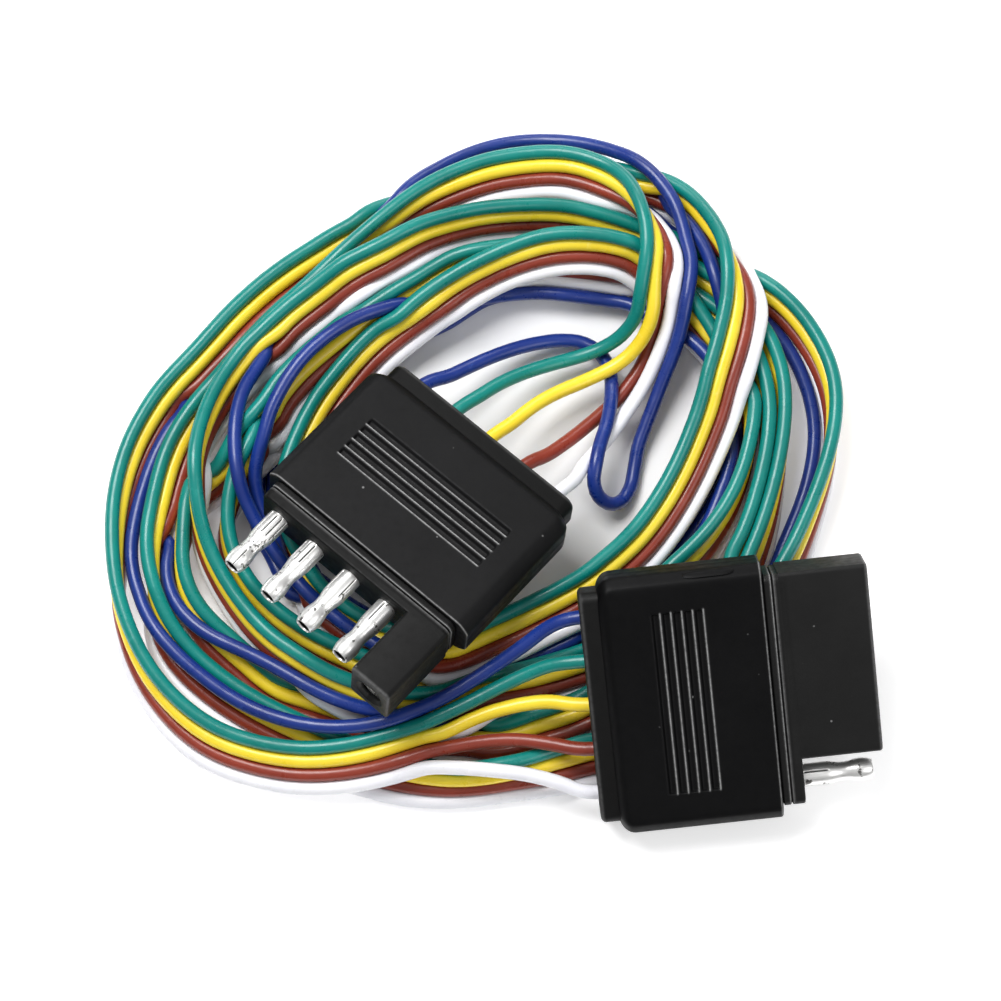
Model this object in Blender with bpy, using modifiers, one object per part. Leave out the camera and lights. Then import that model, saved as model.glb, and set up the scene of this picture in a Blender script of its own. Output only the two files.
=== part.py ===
"""Five-way flat trailer wiring extension: two moulded flat connectors joined by
five wires that lie in a loose coil.  Metres, +Z up, floor at z = 0.

Each connector is built in its own frame: +X is the mating direction, +Y runs
across the five ways, +Z is the top face, and the origin is the middle of the
grip's rear edge.  An empty carries that frame to where the connector lies.
"""
import math

import bmesh
import bpy
from mathutils import Euler, Matrix, Vector

for ob in list(bpy.data.objects):
    bpy.data.objects.remove(ob, do_unlink=True)

MM = 0.001

# ---- driving dimensions (metres) -------------------------------------------
PITCH = 10.5 * MM            # spacing of the five ways
GAP = 0.3 * MM               # clearance kept between touching pieces

GRIP_LENGTH = 36.0 * MM
GRIP_WIDTH = 57.6 * MM       # over the flanks
GRIP_THICK = 12.9 * MM
GRIP_CHAMFER = 2.1 * MM      # sloped shoulder between flank and flat face
GRIP_CORNER = 3.6 * MM       # plan radius of the rear corners
WINDOW_WIDTH = 50.6 * MM     # tunnel through the grip for the carrier
WINDOW_THICK = 9.0 * MM

RIB_START = 11.2 * MM        # first thumb groove, from the rear edge
RIB_PITCH = 2.36 * MM
RIB_GROOVES = 5
RIB_LAND = 0.45 * MM
RIB_LENGTH = 40.4 * MM
RIB_DEPTH = 0.7 * MM

LIP_LENGTH = 3.7 * MM
LIP_WIDTH = 52.0 * MM
LIP_THICK = 9.6 * MM
CORE_WIDTH = 50.0 * MM
CORE_THICK = 8.4 * MM
BLOCK_FRONT = 41.0 * MM
BLOCK_WIDTH = 52.0 * MM
BLOCK_THICK = 12.2 * MM
NOSE_LENGTH = 17.8 * MM      # prong on one half, shell on the other
NOSE_WIDTH = 10.6 * MM

PIN_RADIUS = 2.5 * MM
PIN_TIP = 56.7 * MM
SOCKET_RADIUS = 3.0 * MM
SOCKET_FRONT = 57.2 * MM
BARREL_START = 11.0 * MM
WIRE_RADIUS = 1.6 * MM
CONDUCTOR_RADIUS = 0.75 * MM
TAIL_LENGTH = 12.6 * MM

# where each connector lies: origin, then yaw, pitch and roll in degrees
A_ORIGIN = Vector((-17.76, 32.03, 18.20)) * MM
A_ANGLES = (228.54, -10.53, 4.68)
B_ORIGIN = Vector((11.54, -24.53, 17.30)) * MM
B_ANGLES = (5.95, -1.86, 25.43)

# loose coil
COIL_CENTRE = Vector((-17.5, 33.1, 0.0)) * MM
COIL_OUTER = 83.5 * MM
COIL_BAND = 44.0 * MM
COIL_HEIGHT = 14.0 * MM
COIL_ROUND = 4.5 * MM
COIL_SQUASH = 0.94           # depth over width of the ring
LEAD_ROOM = 20.0 * MM        # cleared behind the second connector
LEAD_SHIFT = (0.0, 0.0, 1.0 * MM, 3.0 * MM, 6.5 * MM)   # drawn in to the coil

COLOURS = ("blue", "green", "yellow", "brown", "white")
WIRE_RGB = {
    "blue": (0.02, 0.06, 0.42, 1), "green": (0.0, 0.27, 0.18, 1),
    "yellow": (0.86, 0.60, 0.01, 1), "brown": (0.22, 0.04, 0.02, 1),
    "white": (0.80, 0.81, 0.88, 1)}

# ---- collections and materials ---------------------------------------------
scene_root = bpy.context.scene.collection
PARTS = bpy.data.collections.new("trailer_wiring_connector")
CUTTERS = bpy.data.collections.new("cutters")
scene_root.children.link(PARTS)
scene_root.children.link(CUTTERS)


def material(name, rgb, roughness, metallic=0.0):
    mat = bpy.data.materials.new(name)
    mat.use_nodes = True
    bsdf = mat.node_tree.nodes["Principled BSDF"]
    bsdf.inputs["Base Color"].default_value = rgb
    bsdf.inputs["Roughness"].default_value = roughness
    bsdf.inputs["Metallic"].default_value = metallic
    return mat


def add_object(name, mesh, parent=None, collection=PARTS):
    ob = bpy.data.objects.new(name, mesh)
    collection.objects.link(ob)
    if parent is not None:
        ob.parent = parent
    if collection is CUTTERS:
        ob.hide_render = True
        ob.display_type = "WIRE"
    return ob


def cut(ob, cutter, operation="DIFFERENCE"):
    mod = ob.modifiers.new(operation.lower() + "_" + cutter.name, "BOOLEAN")
    mod.object = cutter
    mod.operation = operation
    mod.solver = "EXACT"
    return mod


# ---- shape helpers ----------------------------------------------------------
def box_bm(x0, x1, y0, y1, z0, z1):
    bm = bmesh.new()
    bmesh.ops.create_cube(bm, size=1.0)
    bmesh.ops.scale(bm, vec=(x1 - x0, y1 - y0, z1 - z0), verts=bm.verts)
    bmesh.ops.translate(bm, vec=((x0 + x1) / 2, (y0 + y1) / 2, (z0 + z1) / 2),
                        verts=bm.verts)
    return bm


def bm_mesh(bm, name):
    mesh = bpy.data.meshes.new(name)
    bm.to_mesh(mesh)
    bm.free()
    return mesh


def box(name, x0, x1, y0, y1, z0, z1, parent=None, collection=PARTS,
        bevel=0.0, edges="all"):
    """A box; bevel rounds every edge, or only the edges along one axis."""
    bm = box_bm(x0, x1, y0, y1, z0, z1)
    if bevel > 0.0:
        chosen = []
        for e in bm.edges:
            d = (e.verts[1].co - e.verts[0].co).normalized()
            if edges == "all" or abs(d["xyz".index(edges)]) > 0.9:
                chosen.append(e)
        bmesh.ops.bevel(bm, geom=chosen, offset=bevel, offset_type="OFFSET",
                        segments=2, profile=0.5, affect="EDGES")
    return add_object(name, bm_mesh(bm, name), parent, collection)


def extruded_outline(name, points, half_depth, axis, parent, collection):
    """A flat outline as a filled 2D curve, extruded to both sides; axis says
    which way the depth runs."""
    curve = bpy.data.curves.new(name + "_outline", "CURVE")
    curve.dimensions = "2D"
    curve.fill_mode = "BOTH"
    curve.extrude = half_depth
    spline = curve.splines.new("POLY")
    spline.points.add(len(points) - 1)
    for p, (u, v) in zip(spline.points, points):
        p.co = (u, v, 0.0, 1.0)
    spline.use_cyclic_u = True
    tmp = bpy.data.objects.new(name + "_outline", curve)
    CUTTERS.objects.link(tmp)
    bpy.context.view_layer.update()
    mesh = bpy.data.meshes.new_from_object(
        tmp.evaluated_get(bpy.context.evaluated_depsgraph_get()))
    bpy.data.objects.remove(tmp, do_unlink=True)
    bpy.data.curves.remove(curve)
    bm = bmesh.new()
    bm.from_mesh(mesh)
    bpy.data.meshes.remove(mesh)
    bmesh.ops.remove_doubles(bm, verts=bm.verts, dist=1e-6)
    if axis == "x":          # outline is (y, z), depth runs along x
        turn = Matrix(((0, 0, 1, 0), (1, 0, 0, 0), (0, 1, 0, 0), (0, 0, 0, 1)))
        bmesh.ops.transform(bm, matrix=turn, verts=bm.verts)
    bmesh.ops.recalc_face_normals(bm, faces=bm.faces)
    return add_object(name, bm_mesh(bm, name), parent, collection)


def arc(cx, cy, r, a0, a1, n):
    return [(cx + r * math.cos(math.radians(a0 + (a1 - a0) * i / n)),
             cy + r * math.sin(math.radians(a0 + (a1 - a0) * i / n)))
            for i in range(n + 1)]


def cylinder(name, radius, x0, x1, y, parent, collection, sides=20, z=0.0):
    bm = bmesh.new()
    bmesh.ops.create_cone(bm, cap_ends=True, segments=sides, radius1=radius,
                          radius2=radius, depth=x1 - x0,
                          matrix=Matrix.Translation(((x0 + x1) / 2, y, z))
                          @ Matrix.Rotation(math.pi / 2, 4, "Y"))
    return add_object(name, bm_mesh(bm, name), parent, collection)


def turned(name, profile, y, parent, collection=PARTS, sides=20):
    """A closed profile of (x, r) pairs turned about the way's own axis by a
    Screw modifier."""
    bm = bmesh.new()
    verts = [bm.verts.new((x, r, 0.0)) for x, r in profile]
    for a, b in zip(verts, verts[1:] + verts[:1]):
        bm.edges.new((a, b))
    ob = add_object(name, bm_mesh(bm, name), parent, collection)
    ob.location = (0.0, y, 0.0)
    mod = ob.modifiers.new("turn", "SCREW")
    mod.axis = "X"
    mod.angle = 2 * math.pi
    mod.steps = mod.render_steps = sides
    mod.use_merge_vertices = True
    mod.merge_threshold = 1e-5
    mod.use_normal_calculate = True
    mod.use_normal_flip = True
    mod.use_smooth_shade = False
    return ob


# ---- connector pieces -------------------------------------------------------
RUBBER = {}
METAL = {}


def make_grip(tag, frame):
    """Outer overmould: rounded in plan, shouldered in section, with a tunnel
    for the carrier and thumb grooves on both flat faces."""
    half = GRIP_WIDTH / 2
    th = GRIP_THICK / 2
    r = GRIP_CORNER
    plan = (arc(r, half - r, r, 180, 90, 4)
            + [(GRIP_LENGTH - 0.8 * MM, half), (GRIP_LENGTH, half - 0.8 * MM),
               (GRIP_LENGTH, -half + 0.8 * MM), (GRIP_LENGTH - 0.8 * MM, -half)]
            + arc(r, -half + r, r, 270, 180, 4))
    body = extruded_outline("grip_" + tag, plan, th, "z", frame, PARTS)
    c = GRIP_CHAMFER
    # only the four shoulder planes of this outline reach the body
    u, w = half - c - MM, th - c - MM
    section = [(half + MM, -w), (half + MM, w), (u, th + MM), (-u, th + MM),
               (-half - MM, w), (-half - MM, -w), (-u, -th - MM),
               (u, -th - MM)]
    shoulders = extruded_outline("grip_section_" + tag, section, 30 * MM, "x",
                                 frame, CUTTERS)
    shoulders.location = (20 * MM, 0, 0)
    cut(body, shoulders, "INTERSECT")
    # rear shoulder, so the back edge slopes like the flanks
    wedge = [(-2 * MM, -th - MM), (3.0 * MM, -th - MM),
             (-0.5 * MM, -th + 2.5 * MM), (-0.5 * MM, th - 2.5 * MM),
             (3.0 * MM, th + MM), (-2 * MM, th + MM)]
    rear = extruded_outline("grip_rear_" + tag, wedge, 40 * MM, "z", frame,
                            CUTTERS)
    rear.rotation_euler = (math.pi / 2, 0, 0)
    cut(body, rear)
    tunnel = box("grip_tunnel_" + tag, -2 * MM, GRIP_LENGTH + 2 * MM,
                 -WINDOW_WIDTH / 2, WINDOW_WIDTH / 2, -WINDOW_THICK / 2,
                 WINDOW_THICK / 2, frame, CUTTERS)
    cut(body, tunnel)
    bm = bmesh.new()
    for face in (1, -1):
        for i in range(RIB_GROOVES):
            x0 = RIB_START + i * RIB_PITCH
            x1 = x0 + RIB_PITCH - RIB_LAND
            z0, z1 = sorted((face * (th - RIB_DEPTH), face * (th + MM)))
            piece = box_bm(x0, x1, -RIB_LENGTH / 2, RIB_LENGTH / 2, z0, z1)
            tmp = bpy.data.meshes.new("groove")
            piece.to_mesh(tmp)
            piece.free()
            bm.from_mesh(tmp)
            bpy.data.meshes.remove(tmp)
    grooves = add_object("grip_grooves_" + tag,
                         bm_mesh(bm, "grip_grooves_" + tag), frame, CUTTERS)
    cut(body, grooves)
    body.data.materials.append(RUBBER["grip_" + tag])
    return body


def make_carrier(tag, frame, side, shell):
    """Terminal carrier: rear lip, core through the grip, front block, and
    either a prong over one way or a shell over four.  side is the sign of y
    at which the fifth way lies."""
    body = box("carrier_" + tag, -LIP_LENGTH - GAP, -GAP, -LIP_WIDTH / 2,
               LIP_WIDTH / 2, -LIP_THICK / 2, LIP_THICK / 2, frame, PARTS,
               bevel=2.2 * MM, edges="z")
    core = box("carrier_core_" + tag, -LIP_LENGTH / 2, BLOCK_FRONT - MM,
               -CORE_WIDTH / 2, CORE_WIDTH / 2, -CORE_THICK / 2,
               CORE_THICK / 2, frame, CUTTERS)
    cut(body, core, "UNION")
    block = box("carrier_block_" + tag, GRIP_LENGTH + GAP, BLOCK_FRONT,
                -BLOCK_WIDTH / 2, BLOCK_WIDTH / 2, -BLOCK_THICK / 2,
                BLOCK_THICK / 2, frame, CUTTERS, bevel=1.6 * MM, edges="x")
    cut(body, block, "UNION")
    edge = 2.5 * PITCH - (PITCH - NOSE_WIDTH) / 2
    if shell:
        y0, y1 = sorted((-side * edge, side * (1.5 * PITCH + 0.05 * MM)))
    else:
        y0, y1 = sorted((side * (2 * PITCH - NOSE_WIDTH / 2), side * edge))
    nose = box("carrier_nose_" + tag, BLOCK_FRONT - 2 * MM,
               BLOCK_FRONT + NOSE_LENGTH, y0, y1, -BLOCK_THICK / 2 + 0.05 * MM,
               BLOCK_THICK / 2 - 0.05 * MM, frame, CUTTERS,
               bevel=0.9 * MM, edges="x")
    cut(body, nose, "UNION")
    for i in range(5):
        y = side * (i - 2) * PITCH
        fifth = i == 4
        female = fifth != shell
        wire = cylinder("wire_bore_%s%d" % (tag, i + 1), WIRE_RADIUS + GAP,
                        -LIP_LENGTH - 2 * MM, BARREL_START + MM, y, frame,
                        CUTTERS)
        cut(body, wire)
        if female:
            bore = cylinder("way_bore_%s%d" % (tag, i + 1),
                            SOCKET_RADIUS + GAP, BARREL_START - GAP,
                            SOCKET_FRONT + GAP, y, frame, CUTTERS)
            cut(body, bore)
            mouth = cylinder("way_mouth_%s%d" % (tag, i + 1),
                             PIN_RADIUS + 0.4 * MM, SOCKET_FRONT - MM,
                             BLOCK_FRONT + NOSE_LENGTH + 2 * MM, y, frame,
                             CUTTERS)
            cut(body, mouth)
        else:
            bore = cylinder("way_bore_%s%d" % (tag, i + 1), PIN_RADIUS + GAP,
                            BARREL_START - GAP, BLOCK_FRONT + 2 * MM, y,
                            frame, CUTTERS)
            cut(body, bore)
    body.data.materials.append(RUBBER["carrier_" + tag])
    return body


def make_pin(name, y, frame):
    """Male bullet: crimp barrel, neck, split shank, waist and open bulb, all
    rolled from one sheet and so hollow right through."""
    r = PIN_RADIUS
    wall = 0.45 * MM
    outer = [(BARREL_START, 1.65 * MM), (19.0 * MM, 1.65 * MM),
             (21.5 * MM, r), (47.4 * MM, r), (49.6 * MM, 2.06 * MM),
             (51.2 * MM, 2.08 * MM), (53.0 * MM, 2.46 * MM),
             (55.0 * MM, 2.40 * MM), (PIN_TIP - 0.3 * MM, 2.05 * MM),
             (PIN_TIP, 1.75 * MM)]
    inner = [(x, max(q - wall, 1.05 * MM)) for x, q in outer]
    inner[-1] = (PIN_TIP, 1.30 * MM)
    ob = turned(name, outer + inner[::-1], y, frame)
    slit = box("slit_" + name, 39.0 * MM, 46.8 * MM, y - 0.25 * MM,
               y + 0.25 * MM, 0.6 * MM, 4 * MM, frame, CUTTERS)
    cut(ob, slit)
    ob.data.materials.append(METAL[name])
    return ob


def make_socket(name, y, frame):
    """Female socket: crimp barrel and a slit spring tube that grips the
    bullet of the other half."""
    r = SOCKET_RADIUS
    outer = [(BARREL_START, 1.65 * MM), (19.0 * MM, 1.65 * MM),
             (39.0 * MM, 1.9 * MM), (41.0 * MM, r), (SOCKET_FRONT, r)]
    inner = [(BARREL_START, 1.05 * MM), (19.0 * MM, 1.05 * MM),
             (39.0 * MM, 1.3 * MM), (41.0 * MM, PIN_RADIUS + 0.05 * MM),
             (SOCKET_FRONT, PIN_RADIUS + 0.05 * MM)]
    ob = turned(name, outer + inner[::-1], y, frame)
    slit = box("slit_" + name, 43.0 * MM, SOCKET_FRONT + MM, y - 0.3 * MM,
               y + 0.3 * MM, 0.9 * MM, 4 * MM, frame, CUTTERS)
    cut(ob, slit)
    ob.data.materials.append(METAL[name])
    return ob


def make_tail(name, colour, y, frame):
    """Insulated end of a wire inside the carrier, an annular sleeve."""
    x0 = -LIP_LENGTH - GAP + 0.1 * MM
    x1 = BARREL_START - GAP
    ri = CONDUCTOR_RADIUS + 0.12 * MM
    ob = turned(name, [(x0, ri), (x0, WIRE_RADIUS), (x1, WIRE_RADIUS),
                       (x1, ri)], y, frame, sides=16)
    ob.data.materials.append(material(name, WIRE_RGB[colour], 0.4))
    return ob


def make_conductor(name, y, frame):
    """Stranded copper that runs through the sleeve into the crimp barrel."""
    ob = cylinder(name, CONDUCTOR_RADIUS, -LIP_LENGTH - GAP + 0.1 * MM,
                  18.0 * MM, y, frame, PARTS, sides=12)
    ob.data.materials.append(material(name, (0.72, 0.33, 0.16, 1), 0.35, 1.0))
    return ob


def make_connector(tag, origin, angles, side, shell):
    """side is the sign of y at which the fifth (white) way lies."""
    frame = bpy.data.objects.new("frame_" + tag, None)
    PARTS.objects.link(frame)
    frame.location = origin
    yaw, pitch, roll = (math.radians(a) for a in angles)
    frame.rotation_euler = (roll, pitch, yaw)
    RUBBER["grip_" + tag] = material("grip_" + tag, (0.012, 0.012, 0.013, 1),
                                     0.45)
    RUBBER["carrier_" + tag] = material("carrier_" + tag,
                                        (0.016, 0.016, 0.017, 1), 0.5)
    make_grip(tag, frame)
    make_carrier(tag, frame, side, shell)
    for i, colour in enumerate(COLOURS):
        y = side * (i - 2) * PITCH
        female = (i == 4) != shell
        kind = "socket" if female else "pin"
        name = "%s_%s_%s" % (colour, kind, tag)
        METAL[name] = material(name, (0.80, 0.79, 0.76, 1), 0.18, 1.0)
        (make_socket if female else make_pin)(name, y, frame)
        make_tail("%s_tail_%s" % (colour, tag), colour, y, frame)
        make_conductor("%s_conductor_%s" % (colour, tag), y, frame)
    return frame


frame_a = make_connector("a", A_ORIGIN, A_ANGLES, +1, shell=False)
frame_b = make_connector("b", B_ORIGIN, B_ANGLES, -1, shell=True)
bpy.context.view_layer.update()


# ---- the coil ---------------------------------------------------------------
def make_coil():
    """Outer shape of the loose coil: a turned flat ring, drawn a little
    shallower than it is wide, cleared round both connectors."""
    ro, band, h, q = COIL_OUTER, COIL_BAND, COIL_HEIGHT, COIL_ROUND
    ri = ro - band
    prof = ([(ri + 1.0 * MM, 0.2 * MM), (ro - 1.0 * MM, 0.2 * MM)]
            + arc(ro - q * 1.6, h - q, q, 0, 90, 4)
            + arc(ri + q, h - q, q, 90, 180, 3))
    prof = [(ro, 2.0 * MM) if i == 2 else p for i, p in enumerate(prof)]
    bm = bmesh.new()
    verts = [bm.verts.new((x, 0.0, z)) for x, z in prof]
    for a, b in zip(verts, verts[1:] + verts[:1]):
        bm.edges.new((a, b))
    ob = add_object("wire_coil", bm_mesh(bm, "wire_coil"))
    ob.location = COIL_CENTRE
    ob.scale = (1.0, COIL_SQUASH, 1.0)
    mod = ob.modifiers.new("turn", "SCREW")
    mod.axis = "Z"
    mod.angle = 2 * math.pi
    mod.steps = mod.render_steps = 64
    mod.use_merge_vertices = True
    mod.merge_threshold = 1e-5
    mod.use_normal_calculate = True
    mod.use_smooth_shade = False
    low = -GRIP_THICK / 2 - 0.6 * MM
    reach = BLOCK_FRONT + NOSE_LENGTH
    room_a = box("coil_room_a", -8 * MM, reach + 2 * MM, -31 * MM, 31 * MM,
                 low, 60 * MM, frame_a, CUTTERS)
    cut(ob, room_a)
    room_b = box("coil_room_b", -7 * MM, reach + 2 * MM, -31 * MM, 31 * MM,
                 low, 60 * MM, frame_b, CUTTERS)
    cut(ob, room_b)
    lead_room = box("coil_room_leads", -LEAD_ROOM, 0.0, -34 * MM, 36 * MM,
                    2.0 * MM, 60 * MM, None, CUTTERS)
    lead_room.location = (B_ORIGIN.x, B_ORIGIN.y, 0.0)
    lead_room.rotation_euler = (0, 0, math.radians(B_ANGLES[0]))
    cut(ob, lead_room)
    ob.data.materials.append(material("wire_coil", WIRE_RGB["green"], 0.45))
    return ob


def hermite(p0, t0, p1, t1, n):
    pts = []
    for i in range(n + 1):
        u = i / n
        h00 = 2 * u ** 3 - 3 * u ** 2 + 1
        h10 = u ** 3 - 2 * u ** 2 + u
        h01 = -2 * u ** 3 + 3 * u ** 2
        h11 = u ** 3 - u ** 2
        pts.append(p0 * h00 + t0 * h10 + p1 * h01 + t1 * h11)
    return pts


def tube(name, pts, rgb):
    curve = bpy.data.curves.new(name, "CURVE")
    curve.dimensions = "3D"
    curve.bevel_depth = WIRE_RADIUS
    curve.bevel_resolution = 2
    curve.use_fill_caps = True
    spline = curve.splines.new("POLY")
    spline.points.add(len(pts) - 1)
    for p, co in zip(spline.points, pts):
        p.co = (co.x, co.y, co.z, 1.0)
    ob = bpy.data.objects.new(name, curve)
    PARTS.objects.link(ob)
    curve.materials.append(material(name, rgb, 0.4))
    return ob


def exit_point(frame, y):
    """Where a wire leaves the rear lip, and the way it points."""
    m = frame.matrix_world
    p = m @ Vector((-LIP_LENGTH - 2 * GAP, y, 0.0))
    d = (m.to_3x3() @ Vector((-1.0, 0.0, 0.0))).normalized()
    return p, d


def make_leads():
    ri = COIL_OUTER - COIL_BAND
    for i, colour in enumerate(COLOURS):
        # first connector: across the open middle to the ring's inner wall
        p0, d0 = exit_point(frame_a, (i - 2) * PITCH)
        ang = math.radians(78 - 19.5 * i)
        wall = COIL_CENTRE + Vector((ri * math.cos(ang),
                                     COIL_SQUASH * ri * math.sin(ang),
                                     6.5 * MM))
        n = Vector((COIL_SQUASH * math.cos(ang), math.sin(ang), 0)).normalized()
        p1 = wall - n * 0.45 * MM
        span = (p1 - p0).length
        tube("%s_lead_a" % colour,
             hermite(p0, d0 * span * 0.9, p1, n * span * 0.7, 16),
             WIRE_RGB[colour])
        # second connector: back and down to the wall of the cleared room
        p0, d0 = exit_point(frame_b, -(i - 2) * PITCH)
        yaw = math.radians(B_ANGLES[0])
        back = Vector((-math.cos(yaw), -math.sin(yaw), 0.0))
        across = Vector((-math.sin(yaw), math.cos(yaw), 0.0))
        base = Vector((B_ORIGIN.x, B_ORIGIN.y, 0.0))
        lateral = (p0 - base).dot(across)
        lateral += LEAD_SHIFT[i]
        height = min(9.0 * MM, max(p0.z, 5.2 * MM))
        p1 = (base + back * (LEAD_ROOM - 0.35 * MM) + across * lateral
              + Vector((0, 0, height)))
        span = (p1 - p0).length
        tube("%s_lead_b" % colour,
             hermite(p0, d0 * span * 0.8, p1, back * span * 0.8, 10),
             WIRE_RGB[colour])


make_coil()
make_leads()
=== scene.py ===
"""Looks for the trailer wiring connector: two moulded flat connectors joined by
five wires in a loose coil. Metres in the scene; the shapes are worked out in mm."""
import math

import bmesh
import bpy
import numpy as np
from mathutils import Matrix, Vector


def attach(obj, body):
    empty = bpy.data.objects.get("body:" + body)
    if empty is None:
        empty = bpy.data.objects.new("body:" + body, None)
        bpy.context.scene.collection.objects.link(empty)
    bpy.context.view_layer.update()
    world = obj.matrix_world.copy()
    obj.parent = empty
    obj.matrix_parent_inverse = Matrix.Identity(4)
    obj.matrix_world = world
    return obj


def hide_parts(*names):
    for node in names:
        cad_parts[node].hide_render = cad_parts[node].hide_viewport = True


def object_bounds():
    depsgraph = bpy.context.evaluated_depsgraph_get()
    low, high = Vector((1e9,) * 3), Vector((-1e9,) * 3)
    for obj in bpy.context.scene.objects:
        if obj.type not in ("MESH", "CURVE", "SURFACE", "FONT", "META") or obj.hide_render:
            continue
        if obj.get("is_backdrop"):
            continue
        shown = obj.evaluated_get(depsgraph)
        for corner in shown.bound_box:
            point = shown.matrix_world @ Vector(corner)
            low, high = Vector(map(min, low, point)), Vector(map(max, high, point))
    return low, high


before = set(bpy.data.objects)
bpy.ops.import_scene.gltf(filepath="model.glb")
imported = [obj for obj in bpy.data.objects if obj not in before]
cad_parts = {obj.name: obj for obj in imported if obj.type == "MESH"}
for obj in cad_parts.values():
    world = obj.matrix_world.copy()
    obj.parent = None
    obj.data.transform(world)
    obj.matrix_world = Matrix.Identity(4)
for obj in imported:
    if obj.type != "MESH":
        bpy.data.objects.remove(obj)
cad_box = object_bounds()
scene = bpy.context.scene
MM = 0.001


# ---- wire routes ------------------------------------------------------------
# Each row: place seen in the reference view (u to the right, v down, of 1001),
# stacking order, and for the ribbon the lean of its flat in degrees
# (0 = white wire on the inside of the coil, -90 = white below green,
# -180 = white on the outside).

D = 3.2            # wire diameter, mm
PITCH_R = 3.2      # spacing in the bonded ribbon, mm
STEP = 2.1         # spacing of the solver's points, mm

CAM_TARGET = np.array([-11.76, 25.59, 0.0])
CAM_ELEV = math.radians(76.0)
CAM_DIST = 795.09
CAM_F = 3500.0

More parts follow.
